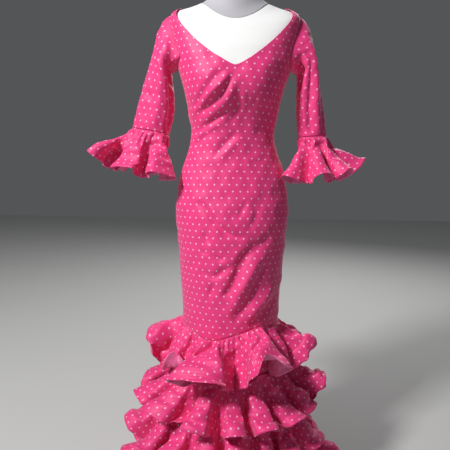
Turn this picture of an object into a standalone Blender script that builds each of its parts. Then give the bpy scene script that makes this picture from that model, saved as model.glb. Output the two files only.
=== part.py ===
"""A flamenco dress standing on a limbless dress form.

The dress is a fitted sheath with a wide V neck, three-quarter sleeves that end in circular
cuff flounces, and five tiers of flounces sewn to a flared under-skirt. Right and left are
the wearer's, so the right sleeve is at -X. The front faces -Y, +Z is up, and the origin is
the middle of the stand's underside on the floor.

Every piece of cloth is an open surface given its thickness by Solidify. The bodice lies on
the form's own surface, moved out along its normal, and each flounce hangs from a seam line
of the piece that carries it.
"""
import math
from collections import namedtuple

import bmesh
import bpy
from mathutils import Matrix, Vector

# ---------------------------------------------------------------- driving sizes (metres)
WALL = 0.0012          # thickness of the cloth walls
SEAM = 0.0003          # clearance between pieces at a seam
BACK_OFF = 0.00024     # how far each edge keeps from a seam line that two pieces share
EASE = 0.0018          # from the body's surface to the inside of the dress
SHOULDER_EASE = 0.0015 # the same on the shoulders, which carry the dress
FORM_INSET = 0.0010    # the form is this much slimmer than the body below its shoulders
SHOULDER_INSET = 0.0058  # and this much in front of and behind the ridge of the shoulders
SHOULDER_START, SHOULDER_SPAN = 1.360, 0.060   # side heights where the shoulders begin
FORM_BOTTOM = 0.800    # the form ends at the thigh
NECK_JOINT = 1.462     # side height of the ring where the neck block starts
NECK_TOP = 1.560
UNDERARM = 1.284       # side height of the armhole's floor
ARMHOLE_TOP = 1.427    # side height of the shoulder point
SKIRT_SEAM = 0.548     # where the sheath ends and the flounces start
HEM = 0.016            # the under-skirt's edge above the floor
FORM_COLUMNS = 24
FORM_LEVELS = [1.452, 1.440, 1.424, 1.400, 1.370, 1.335, 1.300, 1.262, 1.232, 1.205, 1.180,
               1.155, 1.132, 1.110, 1.088, 1.062, 1.032, 0.995, 0.950, 0.900, 0.850]
FORM_EDGE = 0.012      # the form's lower edge is rounded over this height
NECK_LEVELS = [1.558, 1.530, 1.500, 1.475]
NECK_DOME = 0.003      # the neck's top face stands this much over its rim
POLE_RADIUS = 0.0125
BASE_RADIUS = 0.150
BASE_THICKNESS = 0.012
BASE_BEVEL = 0.003
ZIP_END = 0.860        # lower end of the centre back zip
ZIP_HALF_GAP = 0.0021  # from the centre back to a panel's edge beside the zip
SEAM_START = 0.806     # the centre back seam is closed from this level down,
ZIP_FADE = 0.040       # and the gap for the zip opens over this much above it
ZIP_WIDTH = 0.0036     # the closed chain
ZIP_ROWS = 14
ZIP_THICKNESS = 0.0018
SLIDER_DOWN = 0.009    # the slider's middle below the back neckline
SLIDER_LENGTH, SLIDER_DEPTH = 0.0090, 0.0026
CHAIN_START = 0.0063   # the chain's end below the slider's middle
LUG_HEIGHT, LUG_LENGTH, LUG_WIDTH = 0.0030, 0.0024, 0.0006
LUG_OVER_PIN = 0.0008  # a lug's end above the pin's axis
PIN_RADIUS, PIN_LIFT = 0.0005, 0.0032  # the pull's pin, and its height over the cloth's middle
EYE_RADIUS, EYE_BORE, EYE_WIDTH = 0.0015, 0.00085, 0.0018
TAB_LENGTH, TAB_WIDTH, TAB_THICKNESS = 0.0190, 0.0044, 0.0010
TAB_DROP = 0.0027      # from the pin's axis to the tab's upper edge
TAB_NECK = 0.0031      # the neck between the eye and the tab, from inside the eye's rim
SHY = 0.98             # a joined piece is this much narrower, so no two faces share a plane

# Sections of the body. A ring is named by its height at the sides; over the shoulders its
# front and back lie lower than its sides. `square` is the superellipse exponent.
Section = namedtuple("Section", "level half_width front back front_z back_z square")
SECTIONS = [
    Section(0.016, 0.2450, 0.2280, 0.2320, 0.016, 0.016, 2.0),
    Section(0.115, 0.2275, 0.2095, 0.2135, 0.115, 0.115, 2.0),
    Section(0.220, 0.2090, 0.1900, 0.1940, 0.220, 0.220, 2.0),
    Section(0.325, 0.1845, 0.1660, 0.1700, 0.325, 0.325, 2.0),
    Section(0.430, 0.1600, 0.1420, 0.1460, 0.430, 0.430, 2.0),
    Section(0.538, 0.1430, 0.124, 0.127, 0.538, 0.538, 2.05),
    Section(0.610, 0.1425, 0.121, 0.126, 0.610, 0.610, 2.1),
    Section(0.700, 0.1485, 0.119, 0.127, 0.700, 0.700, 2.1),
    Section(0.800, 0.1555, 0.117, 0.131, 0.800, 0.800, 2.15),
    Section(0.886, 0.1620, 0.114, 0.133, 0.886, 0.886, 2.2),
    Section(0.960, 0.1545, 0.106, 0.126, 0.960, 0.960, 2.2),
    Section(1.020, 0.1390, 0.096, 0.106, 1.020, 1.020, 2.2),
    Section(1.065, 0.1225, 0.089, 0.092, 1.065, 1.065, 2.2),
    Section(1.112, 0.1145, 0.087, 0.085, 1.112, 1.112, 2.2),
    Section(1.160, 0.1240, 0.099, 0.088, 1.160, 1.160, 2.3),
    Section(1.210, 0.1320, 0.119, 0.095, 1.210, 1.210, 2.4),
    Section(1.262, 0.1480, 0.123, 0.101, 1.262, 1.262, 2.45),
    Section(1.330, 0.1640, 0.112, 0.103, 1.312, 1.318, 2.5),
    Section(1.390, 0.1740, 0.098, 0.098, 1.352, 1.368, 2.5),
    Section(1.424, 0.1765, 0.087, 0.088, 1.379, 1.400, 2.4),
    Section(1.440, 0.1580, 0.079, 0.078, 1.394, 1.420, 2.2),
    Section(1.452, 0.1190, 0.073, 0.069, 1.404, 1.438, 2.0),
    Section(1.466, 0.0860, 0.067, 0.062, 1.414, 1.454, 2.0),
    Section(1.485, 0.0690, 0.060, 0.056, 1.436, 1.476, 2.0),
    Section(1.515, 0.0580, 0.053, 0.053, 1.486, 1.510, 2.0),
    Section(1.560, 0.0545, 0.052, 0.052, 1.550, 1.558, 2.0),
]

# The seam of the skirt runs unevenly round the front.
Rise = namedtuple("Rise", "at height spread")
SEAM_RISES = [Rise(-22.0, -0.019, 22.0), Rise(38.0, 0.019, 25.0)]

# A cup on each side of the front: how far it stands out and how wide it spreads.
CUP_X, CUP_Z, CUP_DEPTH, CUP_WIDTH, CUP_HEIGHT = 0.066, 1.232, 0.012, 0.050, 0.045

# Drag lines of the sheath, each a soft ridge (+) or trough (-) between two points of the
# front or back, seen square on.
Crease = namedtuple("Crease", "x0 z0 x1 z1 width depth")
FRONT_CREASES = [
    Crease(-0.004, 1.266, -0.120, 1.140, 0.017, 0.0085),
    Crease(-0.028, 1.190, -0.118, 1.100, 0.015, 0.0070),
    Crease(-0.105, 0.910, 0.040, 0.805, 0.019, 0.0080),
    Crease(0.118, 0.830, -0.040, 0.640, 0.021, 0.0100),
    Crease(0.120, 0.730, 0.000, 0.560, 0.019, 0.0090),
]
BACK_CREASES = [
    Crease(-0.108, 1.120, -0.012, 1.060, 0.015, 0.0050),
    Crease(0.108, 1.110, 0.014, 1.040, 0.015, 0.0055),
    Crease(-0.125, 0.830, -0.010, 0.690, 0.018, 0.0050),
    Crease(0.120, 0.760, 0.010, 0.590, 0.018, 0.0060),
]

# Columns of the sheath's panels, as degrees from the middle of the front or back.
NECK_COLUMN, ARMHOLE_COLUMN = 48.0, 62.0
FRONT_COLUMNS = [0, 6, 13, 20, 27, 34, 41, NECK_COLUMN, 55, ARMHOLE_COLUMN, 72, 81, 90]
BACK_COLUMNS = [0, 9, 19, 29, 39, NECK_COLUMN, 55, ARMHOLE_COLUMN, 71, 81, 90]
FRONT_ROWS, BACK_ROWS, UPPER_ROWS = 24, 14, 9

# The neckline on each side: its lowest level, the side height of its end on the shoulder,
# how much rounder than a V it is at its point, and how much fuller it gets above.
Neckline = namedtuple("Neckline", "lowest edge curve fuller")
NECKLINES = {
    ("front", "right"): Neckline(1.2815, 1.4435, 1.10, 0.28),
    ("front", "left"): Neckline(1.2815, 1.4465, 1.10, 0.45),
    ("back", "right"): Neckline(1.3720, 1.4435, 1.10, 0.28),
    ("back", "left"): Neckline(1.3720, 1.4465, 1.10, 0.28),
}
SIDE_OF = {"right": -1.0, "left": 1.0}
LATE, CLIMB = 1.7, 1.35                # how the strap's columns bend to the shoulder
ROW_CENTRE = 1.258                     # the row under the neckline's point, at the centre
ARMHOLE_RISE = 0.026                   # the armhole's floor rises this much to its edge
TOP_SETBACK = 0.001                    # share of the upper rows left off at the seams

# A sleeve's sections: outermost and innermost point, seen from the front, with the depth
# to the front and back, and how far the section's front point leans towards the body.
SleeveRing = namedtuple("SleeveRing", "outer_x outer_z inner_x inner_z depth lean")
SLEEVES = {
    "right": [
        SleeveRing(0.2330, 1.312, 0.1760, 1.268, 0.056, 0.010),
        SleeveRing(0.2540, 1.247, 0.1700, 1.212, 0.050, 0.017),
        SleeveRing(0.2730, 1.185, 0.1700, 1.163, 0.043, 0.020),
        SleeveRing(0.2900, 1.121, 0.1850, 1.100, 0.036, 0.017),
    ],
    "left": [
        SleeveRing(0.2260, 1.312, 0.1790, 1.268, 0.056, -0.004),
        SleeveRing(0.2430, 1.243, 0.1790, 1.208, 0.050, 0.002),
        SleeveRing(0.2560, 1.180, 0.1810, 1.160, 0.046, 0.008),
        SleeveRing(0.2685, 1.105, 0.1865, 1.100, 0.043, 0.006),
    ],
}
SLEEVE_COLUMNS, CAP_ROWS, ARM_ROWS = 18, 5, 5
ARMHOLE_START = 0.0014                 # the sleeve's wall starts this far off the armhole
CAP_PULL = 0.32                        # how long the cap keeps the way it leaves the armhole
SLEEVE_LEAVES = Vector((0.95, 0.0, -0.31))   # the way the sleeve's cap leaves a +X armhole

# Flounces. A lobe is a wave of the cloth: where its crest is on the seam, in degrees, how
# many degrees its cloth stands away from the drop there, and how many it falls back by from
# the middle of its length to the hem.
Lobe = namedtuple("Lobe", "at spread fall", defaults=(0.0,))
FALL_FROM = 0.5
VALLEY_SPREAD = 27.0   # the same between two lobes of a tier
SWELL = 0.125          # a crest is this much wider than its root, as a share of the lobe
ROOT_RADIUS = 0.050    # the radius that the swell of a lobe starts from
ROUND = 0.75           # under 1, a crest is broad and a valley is narrow
BEND_START, BEND_GAIN, BEND_EASE = 0.45, 1.25, 0.52   # of the spread, along the cloth
BEND_STEPS = 8

CUFF_LENGTH, CUFF_VALLEY, CUFF_ROWS, CUFF_COLUMNS = 0.138, 8.0, 4, 6
CUFF_START = 0.0009    # clearance along the sleeve, because the flounce leaves at an angle
CUFFS = {
    "right": [Lobe(-8, 67), Lobe(40, 57), Lobe(84, 34), Lobe(124, 46),
              Lobe(172, 6), Lobe(232, 22), Lobe(292, 50)],
    "left": [Lobe(-4, 64), Lobe(44, 48), Lobe(90, 40), Lobe(133, 46),
             Lobe(172, 3), Lobe(235, 20), Lobe(298, 50)],
}

# Tiers: the height of the seam, the length of the cloth, the grid of the wall and the
# lobes. Those at the front differ most and are placed one by one, and those behind are
# even but for a small turn and a small change of spread, in degrees.
TURN_UNEVEN, SPREAD_UNEVEN = 2.0, 5.0
TIER_OFF = WALL + 1.4 * SEAM   # from the middle of the skirt's wall to that of a tier
Tier = namedtuple("Tier", "name seam length columns_per_lobe rows front_lobes lobes_behind"
                  " spread_behind")
TIERS = [
    Tier("tier_1", SKIRT_SEAM, 0.142, 6, 4,
         [Lobe(-84, 94, 95), Lobe(-54, 46), Lobe(-17, 55), Lobe(19, 52),
          Lobe(50, 58), Lobe(79, 82, 75)], 7, 58),
    Tier("tier_2", 0.430, 0.150, 5, 4,
         [Lobe(-90, 62, 60), Lobe(-64, 52), Lobe(-41, 53), Lobe(-18, 52),
          Lobe(3, 42), Lobe(22, 50), Lobe(43, 50), Lobe(65, 52),
          Lobe(87, 80, 95)], 8, 52),
    Tier("tier_3", 0.325, 0.156, 5, 3,
         [Lobe(-81, 66), Lobe(-59, 58), Lobe(-38, 50), Lobe(-17, 54),
          Lobe(5, 56), Lobe(25, 48), Lobe(46, 55), Lobe(68, 50),
          Lobe(90, 44)], 8, 53),
    Tier("tier_4", 0.220, 0.158, 5, 2,
         [Lobe(-90, 56), Lobe(-70, 60), Lobe(-50, 52), Lobe(-30, 56),
          Lobe(-10, 50), Lobe(10, 57), Lobe(30, 50), Lobe(50, 56),
          Lobe(70, 58), Lobe(89, 68)], 8, 54),
    Tier("tier_5", 0.115, 0.112, 4, 2,
         [Lobe(-81, 56), Lobe(-63, 50), Lobe(-45, 56), Lobe(-27, 48),
          Lobe(-9, 54), Lobe(9, 50), Lobe(27, 56), Lobe(45, 50),
          Lobe(63, 56), Lobe(81, 52)], 9, 52),
]

CLOTH = ("cloth", (0.80, 0.06, 0.24), 0.62, 0.0)
FORM_SHELL = ("form_shell", (0.86, 0.86, 0.85), 0.42, 0.0)
FORM_NECK = ("form_neck", (0.52, 0.51, 0.54), 0.50, 0.0)
STAND_METAL = ("stand_metal", (0.55, 0.56, 0.58), 0.35, 1.0)
ZIP_NYLON = ("zip_nylon", (0.70, 0.05, 0.20), 0.45, 0.0)
ZIP_METAL = ("zip_metal", (0.70, 0.05, 0.20), 0.30, 1.0)


# ---------------------------------------------------------------- scene and meshes
def clear_scene():
    for obj in list(bpy.data.objects):
        bpy.data.objects.remove(obj, do_unlink=True)


def material(spec):
    name, colour, roughness, metallic = spec
    found = bpy.data.materials.get(name)
    if found:
        return found
    made = bpy.data.materials.new(name)
    made.use_nodes = True
    shader = made.node_tree.nodes["Principled BSDF"]
    shader.inputs["Base Color"].default_value = (*colour, 1.0)
    shader.inputs["Roughness"].default_value = roughness
    shader.inputs["Metallic"].default_value = metallic
    return made


def add_object(name, points, faces, spec, collection):
    mesh = bpy.data.meshes.new(name)
    mesh.from_pydata([tuple(p) for p in points], [], faces)
    mesh.validate()
    mesh.shade_smooth()
    mesh.materials.append(material(spec))
    obj = bpy.data.objects.new(name, mesh)
    collection.objects.link(obj)
    return obj


def strip_faces(rows, columns, closed):
    """Quads between the rows of a grid of points, wound to face out when the rows go down
    and the columns run to the right as seen from outside."""
    faces = []
    spans = columns if closed else columns - 1
    for row in range(rows - 1):
        for column in range(spans):
            after = (column + 1) % columns
            faces.append((row * columns + column, (row + 1) * columns + column,
                          (row + 1) * columns + after, row * columns + after))
    return faces


def cloth_wall(name, grid, closed, collection, spec=CLOTH):
    """A wall of cloth whose middle is the grid: rows from top to bottom."""
    points = [p for row in grid for p in row]
    faces = strip_faces(len(grid), len(grid[0]), closed)
    return thicken(add_object(name, points, faces, spec, collection))


def thicken(obj):
    solid = obj.modifiers.new("thickness", "SOLIDIFY")
    solid.thickness = WALL
    solid.offset = 0.0
    return obj


def capped_loft(name, rings, spec, collection):
    """A closed solid through rings given from top to bottom. Each end is a fan of faces
    round its middle, because a ring of the body isn't flat."""
    columns = len(rings[0])
    points = [p for ring in rings for p in ring]
    faces = strip_faces(len(rings), columns, True)
    top, bottom = len(points), len(points) + 1
    points.append(sum(rings[0], Vector()) / columns)
    points.append(sum(rings[-1], Vector()) / columns)
    last = (len(rings) - 1) * columns
    for k in range(columns):
        after = (k + 1) % columns
        faces.append((top, k, after))
        faces.append((bottom, last + after, last + k))
    return add_object(name, points, faces, spec, collection)


def turned(name, profile, spec, collection, steps):
    """A turned solid: the profile of (radius, height) runs from the axis at the top, down
    the outside and back to the axis."""
    mesh = bpy.data.meshes.new(name)
    points = [(radius, 0.0, height) for radius, height in profile]
    mesh.from_pydata(points, [(i, i + 1) for i in range(len(points) - 1)], [])
    mesh.materials.append(material(spec))
    obj = bpy.data.objects.new(name, mesh)
    collection.objects.link(obj)
    screw = obj.modifiers.new("turn", "SCREW")
    screw.steps = steps
    screw.render_steps = steps
    screw.use_merge_vertices = True
    screw.merge_threshold = 0.00001
    return obj


# ---------------------------------------------------------------- the body's surface
def slope(rows, index, field):
    """The tangent of one column of the table at a row, from its neighbours."""
    low, high = max(index - 1, 0), min(index + 1, len(rows) - 1)
    rise = getattr(rows[high], field) - getattr(rows[low], field)
    return rise / (rows[high].level - rows[low].level)


def section(level):
    """The body's section at any level, through the table's rows."""
    level = min(max(level, SECTIONS[0].level), SECTIONS[-1].level)
    index = max(i for i, row in enumerate(SECTIONS[:-1]) if row.level <= level)
    low, high = SECTIONS[index], SECTIONS[index + 1]
    step = high.level - low.level
    t = (level - low.level) / step
    values = [level]
    for field in Section._fields[1:]:
        start, end = getattr(low, field), getattr(high, field)
        leave = slope(SECTIONS, index, field) * step
        arrive = slope(SECTIONS, index + 1, field) * step
        values.append((2 * t ** 3 - 3 * t ** 2 + 1) * start + (t ** 3 - 2 * t ** 2 + t) * leave
                      + (3 * t ** 2 - 2 * t ** 3) * end + (t ** 3 - t ** 2) * arrive)
    return Section(*values)


def raised(value, power):
    return math.copysign(abs(value) ** power, value)


def body_point(angle, level):
    """A point of the form's surface: angle in degrees from the front, towards +X."""
    ring = section(level)
    turn = math.radians(angle)
    across, ahead = math.sin(turn), math.cos(turn)
    depth, end_z = (ring.front, ring.front_z) if ahead >= 0 else (ring.back, ring.back_z)
    x = ring.half_width * raised(across, 2 / ring.square)
    y = -depth * raised(ahead, 2 / ring.square)
    z = level + (end_z - level) * ahead ** 2
    if ahead > 0:
        near = ((abs(x) - CUP_X) / CUP_WIDTH) ** 2 + ((z - CUP_Z) / CUP_HEIGHT) ** 2
        y -= CUP_DEPTH * math.exp(-near) * ahead ** 0.5
    return Vector((x, y, z))


def body_normal(angle, level):
    """The outward normal of the form's surface."""
    step = 0.002
    low = min(max(level, SECTIONS[0].level + step), SECTIONS[-1].level - step)
    around = body_point(angle + 0.5, low) - body_point(angle - 0.5, low)
    upward = body_point(angle, low + step) - body_point(angle, low - step)
    return around.cross(upward).normalized()


def crease_height(x, z, creases):
    """How far the drag lines raise the cloth at a point seen square on."""
    total = 0.0
    for line in creases:
        length_x, length_z = line.x1 - line.x0, line.z1 - line.z0
        length = math.hypot(length_x, length_z)
        along = ((x - line.x0) * length_x + (z - line.z0) * length_z) / length ** 2
        across = ((x - line.x0) * length_z - (z - line.z0) * length_x) / length
        taper = math.sin(math.pi * min(max(along, 0.0), 1.0)) ** 0.6 if 0 < along < 1 else 0.0
        total += line.depth * taper * math.exp(-(across / line.width) ** 2)
    return total


def seam_level(angle):
    """The level of the seam between the sheath and the flounces."""
    turned_to = (angle + 180.0) % 360.0 - 180.0
    return SKIRT_SEAM + sum(rise.height * math.exp(-((turned_to - rise.at) / rise.spread) ** 2)
                            for rise in SEAM_RISES)


def near_shoulder(level):
    """0 below the shoulders, 1 on top of them."""
    return min(max((level - SHOULDER_START) / SHOULDER_SPAN, 0.0), 1.0)


def dress_point(angle, level, creases=()):
    """The middle of the sheath's wall over the form."""
    at = body_point(angle, level)
    ease = EASE + (SHOULDER_EASE - EASE) * near_shoulder(level)
    lift = ease + WALL / 2 + crease_height(at.x, at.z, creases)
    return at + body_normal(angle, level) * lift


# ---------------------------------------------------------------- the sheath's panels
def neck_level(angle, neckline):
    """The neckline on the body, from its lowest point to the shoulder."""
    share = math.sin(math.radians(min(angle, 90.0)))
    climbed = share ** (neckline.curve - neckline.fuller * share)
    return neckline.lowest + (neckline.edge - neckline.lowest) * climbed


def top_edge(column, neckline):
    """Where a column of a half panel ends: (angle, level) on the neckline, the shoulder
    seam or the floor of the armhole."""
    if column <= NECK_COLUMN:
        angle = 90.0 * column / NECK_COLUMN
        return angle, neck_level(angle, neckline)
    if column <= ARMHOLE_COLUMN:
        share = (column - NECK_COLUMN) / (ARMHOLE_COLUMN - NECK_COLUMN)
        return 90.0, neckline.edge + (ARMHOLE_TOP - neckline.edge) * share
    return column, armhole_floor(column)


def armhole_floor(column):
    """The level where the lower rows of a panel end."""
    share = min(1.0, (90.0 - column) / (90.0 - ARMHOLE_COLUMN))
    return UNDERARM + ARMHOLE_RISE * share ** 2


def lower_top(column):
    """The row that the lower and upper rows share. It dips under the neckline's point."""
    if column >= ARMHOLE_COLUMN:
        return armhole_floor(column)
    share = column / ARMHOLE_COLUMN
    return ROW_CENTRE + (UNDERARM + ARMHOLE_RISE - ROW_CENTRE) * share ** 2


def upper_place(column, share, neckline):
    """(angle, level) of a point between the shared row and the top edge."""
    end_angle, end_level = top_edge(column, neckline)
    start = lower_top(column)
    strap = min(max((column - 0.5 * NECK_COLUMN) / (0.5 * NECK_COLUMN), 0.0), 1.0)
    turned_share = share ** (1.0 + (LATE - 1.0) * strap)
    climbed = 1.0 - (1.0 - share) ** (1.0 + (CLIMB - 1.0) * strap)
    return column + (end_angle - column) * turned_share, start + (end_level - start) * climbed


def shrink(angle, level, gap):
    """The angle moved off a seam by a gap, measured along the surface."""
    ring = section(level)
    around = math.radians(1.0) * 0.5 * (ring.half_width + ring.front)
    return angle - gap / around


def panel(name, facing, columns, rows, creases, edge_gap, collection):
    """One panel of the sheath. `columns` are signed degrees from the middle of the front
    (facing 0) or of the back (facing 180), running to the right as seen from outside."""
    points, index = [], {}
    if facing == 0.0:
        necklines = [NECKLINES["front", "right"], NECKLINES["front", "left"]]
    else:
        necklines = [NECKLINES["back", "left"], NECKLINES["back", "right"]]

    def place(column, angle, level):
        size = abs(angle)
        if size >= 89.9:
            size = shrink(size, level, BACK_OFF)
        signed = math.copysign(size, column) if column else 0.0
        signed = edge_gap(signed, level) if edge_gap else signed
        return dress_point(facing + signed, level, creases)

    for i, column in enumerate(columns):
        top = lower_top(abs(column))
        bottom = seam_level(facing + column) + BACK_OFF
        for j in range(rows + 1):
            level = top + (bottom - top) * j / rows
            index[i, j] = len(points)
            points.append(place(column, abs(column), level))
    upper = [i for i, column in enumerate(columns) if abs(column) <= ARMHOLE_COLUMN]
    for i in upper:
        for j in range(1, UPPER_ROWS + 1):
            share = min(j / UPPER_ROWS, 1.0 - TOP_SETBACK)
            angle, level = upper_place(abs(columns[i]), share, necklines[columns[i] > 0])
            index[i, -j] = len(points)
            points.append(place(columns[i], angle, level))
    faces = []
    for i in range(len(columns) - 1):
        for j in range(rows):
            faces.append((index[i, j], index[i, j + 1], index[i + 1, j + 1], index[i + 1, j]))
    for i in upper[:-1]:
        for j in range(UPPER_ROWS):
            faces.append((index[i, -j - 1], index[i, -j], index[i + 1, -j],
                          index[i + 1, -j - 1]))
    return thicken(add_object(name, points, faces, CLOTH, collection))


def beside_zip(sign):
    """Keeps a back panel's edge off the centre back: the zip's width, then a plain seam."""
    def moved(signed, level):
        if abs(signed) > 0.001:
            return signed
        open_share = min(1.0, max(0.0, (level - SEAM_START) / ZIP_FADE))
        gap = SEAM / 2 + (ZIP_HALF_GAP - SEAM / 2) * open_share
        ring = section(level)
        return sign * math.degrees(math.asin((gap / ring.half_width) ** (ring.square / 2)))
    return moved


def make_sheath(collection):
    whole = [-c for c in reversed(FRONT_COLUMNS[1:])] + FRONT_COLUMNS
    panel("front", 0.0, whole, FRONT_ROWS, FRONT_CREASES, None, collection)
    panel("back_right", 180.0, BACK_COLUMNS, BACK_ROWS, BACK_CREASES, beside_zip(1.0),
          collection)
    panel("back_left", 180.0, [-c for c in reversed(BACK_COLUMNS)], BACK_ROWS, BACK_CREASES,
          beside_zip(-1.0), collection)


def make_under_skirt(collection):
    """The flared skirt that carries the tiers, in a front and a back."""
    lower_rows = [TIERS[1].seam, TIERS[3].seam, HEM]
    for name, facing, half in (("under_skirt_front", 0.0, FRONT_COLUMNS),
                               ("under_skirt_back", 180.0, BACK_COLUMNS)):
        angles = [-c for c in reversed(half[1:])] + half
        grid = []
        for lower_row in [None] + lower_rows:
            points = []
            for angle in angles:
                level = lower_row or seam_level(facing + angle) - BACK_OFF
                limit = shrink(90.0, level, BACK_OFF)
                points.append(dress_point(facing + max(-limit, min(limit, angle)), level))
            grid.append(points)
        cloth_wall(name, grid, False, collection)


# ---------------------------------------------------------------- sleeves
def armhole_loop(side, count):
    """Points round an armhole on the middle of the sheath's wall, from the shoulder point
    down the front, under the arm and up the back, evenly spaced."""
    path = []
    edge_steps, floor_steps = 24, 12
    for forward, neckline in ((True, NECKLINES["front", "left"]),
                              (False, NECKLINES["back", "left"])):
        edge = [upper_place(ARMHOLE_COLUMN, 1 - s / edge_steps, neckline)
                for s in range(edge_steps)]
        columns = [ARMHOLE_COLUMN + (90 - ARMHOLE_COLUMN) * s / floor_steps
                   for s in range(floor_steps + 1)]
        floor = [(column, armhole_floor(column)) for column in columns]
        points = [dress_point(side * angle if forward else 180.0 - side * angle, level)
                  for angle, level in edge + floor]
        path += points if forward else points[::-1][1:-1]
    path.append(path[0])
    lengths = [0.0]
    for before, after in zip(path, path[1:]):
        lengths.append(lengths[-1] + (after - before).length)
    loop = []
    for k in range(count):
        want = lengths[-1] * k / count
        i = max(n for n in range(len(lengths) - 1) if lengths[n] <= want)
        share = (want - lengths[i]) / (lengths[i + 1] - lengths[i])
        loop.append(path[i].lerp(path[i + 1], share))
    return loop


def sleeve_centre(ring, side):
    return Vector((side * (ring.outer_x + ring.inner_x) / 2, 0.0,
                   (ring.outer_z + ring.inner_z) / 2))


def sleeve_ring(ring, side, count):
    """A section of a sleeve: from its outermost point round by the front."""
    centre = sleeve_centre(ring, side)
    reach = Vector((side * ring.outer_x, 0.0, ring.outer_z)) - centre
    points = []
    for k in range(count):
        turn = 2 * math.pi * k / count
        lean = -side * ring.lean * max(math.sin(turn), 0.0) ** 2
        points.append(centre + reach * math.cos(turn)
                      + Vector((lean, -ring.depth * math.sin(turn), 0.0)))
    return points


def between(rings, share):
    """A sleeve section between those of the table, share running from 0 to 1."""
    place = share * (len(rings) - 1)
    i = min(int(place), len(rings) - 2)
    t = place - i
    return SleeveRing(*(a + (b - a) * t for a, b in zip(rings[i], rings[i + 1])))


def bezier(a, b, c, d, t):
    return (a * (1 - t) ** 3 + b * (3 * t * (1 - t) ** 2) + c * (3 * t ** 2 * (1 - t))
            + d * t ** 3)


def sleeve_grid(name):
    """Rows of a sleeve from the armhole to the cuff seam."""
    side = SIDE_OF[name]
    rings = SLEEVES[name]
    leave = Vector((side * SLEEVE_LEAVES.x, 0.0, SLEEVE_LEAVES.z)).normalized()
    loop = [p + leave * ARMHOLE_START for p in armhole_loop(side, SLEEVE_COLUMNS)]
    upper_arm = sleeve_ring(rings[0], side, SLEEVE_COLUMNS)
    next_ring = sleeve_ring(between(rings, 0.1), side, SLEEVE_COLUMNS)
    grid = []
    for row in range(CAP_ROWS):
        t = row / CAP_ROWS
        points = []
        for start, end, after in zip(loop, upper_arm, next_ring):
            reach = (end - start).length
            down = (after - end).normalized()
            points.append(bezier(start, start + leave * reach * CAP_PULL,
                                 end - down * reach * CAP_PULL, end, t))
        grid.append(points)
    for row in range(ARM_ROWS + 1):
        grid.append(sleeve_ring(between(rings, row / ARM_ROWS), side, SLEEVE_COLUMNS))
    return grid


def outward_rows(grid, side):
    """Columns of a +X sleeve run the other way round, so they are turned to face out."""
    return [row[::-1] for row in grid] if side > 0 else grid


# ---------------------------------------------------------------- flounces
def bend_share(t):
    """How much of its spread the cloth has at a share of its length: it leaves the seam
    nearly straight, swings out and eases down again at the hem."""
    return BEND_START + BEND_GAIN * t * (1.0 - BEND_EASE * t)


def travel(spread, fall, t):
    """How far out and down the cloth has come at a share of its length, for length 1."""
    out = drop = 0.0
    for k in range(BEND_STEPS):
        share = (k + 0.5) * t / BEND_STEPS
        fallen = max(0.0, (share - FALL_FROM) / (1.0 - FALL_FROM))
        angle = math.radians(spread * bend_share(share) - fall * fallen)
        out += math.sin(angle) * t / BEND_STEPS
        drop += math.cos(angle) * t / BEND_STEPS
    return out, drop


def lobe_columns(lobes, per_lobe):
    """For each column: its place on the seam in degrees, the lobe and the phase across the
    lobe, from -1 to 1. Lobes meet halfway between their crests."""
    count = len(lobes)
    columns = []
    for i, lobe in enumerate(lobes):
        before = lobes[i - 1].at - (360.0 if i == 0 else 0.0)
        after = lobes[(i + 1) % count].at + (360.0 if i == count - 1 else 0.0)
        start, end = (before + lobe.at) / 2, (lobe.at + after) / 2
        for k in range(per_lobe):
            phase = -1.0 + 2.0 * k / per_lobe
            half = (lobe.at - start) if phase < 0 else (end - lobe.at)
            columns.append((lobe.at + half * phase, lobe, phase, end - start))
    return columns


def flounce_grid(columns, seam, length, valley, rows):
    """Rows of a flounce. `seam(degrees)` gives the point on the seam, the outward
    direction, the direction along the seam and the way down."""
    grid = []
    for row in range(rows + 1):
        t = row / rows
        points = []
        for degrees, lobe, phase, width in columns:
            point, out_way, along, down = seam(degrees)
            crest = (0.5 + 0.5 * math.cos(math.pi * phase)) ** ROUND
            out, drop = travel(valley + (lobe.spread - valley) * crest, lobe.fall * crest, t)
            at = point + (out_way * out + down * drop) * length
            radius = out * length + ROOT_RADIUS
            swell = SWELL * math.radians(width) * radius * math.sin(math.pi * phase)
            points.append(at + along * swell * t ** 1.5)
        grid.append(points)
    return grid


def tier_lobes(tier):
    """The lobes placed at the front, then those behind, evenly but unlike each other."""
    first, last = tier.front_lobes[0], tier.front_lobes[-1]
    step = (360.0 + first.at - last.at) / (tier.lobes_behind + 1)
    behind = []
    for k in range(tier.lobes_behind):
        turned_by = TURN_UNEVEN * math.sin(2.1 * k + 40.0 * tier.seam)
        spread = tier.spread_behind + SPREAD_UNEVEN * math.cos(1.7 * k + 25.0 * tier.seam)
        behind.append(Lobe(last.at + step * (k + 1) + turned_by, spread))
    return tier.front_lobes + behind


def tier_seam(tier):
    """The seam of a tier, just outside the wall of the skirt that carries it."""
    def seam(degrees):
        level = seam_level(degrees) if tier.seam == SKIRT_SEAM else tier.seam
        normal = body_normal(degrees, level)
        out_way = Vector((normal.x, normal.y, 0.0)).normalized()
        point = dress_point(degrees, level) + out_way * TIER_OFF
        along = Vector((-out_way.y, out_way.x, 0.0))
        return point, out_way, along, Vector((0.0, 0.0, -1.0))
    return seam


def make_tiers(collection):
    for tier in TIERS:
        columns = lobe_columns(tier_lobes(tier), tier.columns_per_lobe)
        grid = flounce_grid(columns, tier_seam(tier), tier.length, VALLEY_SPREAD, tier.rows)
        cloth_wall(tier.name, grid, True, collection)


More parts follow.
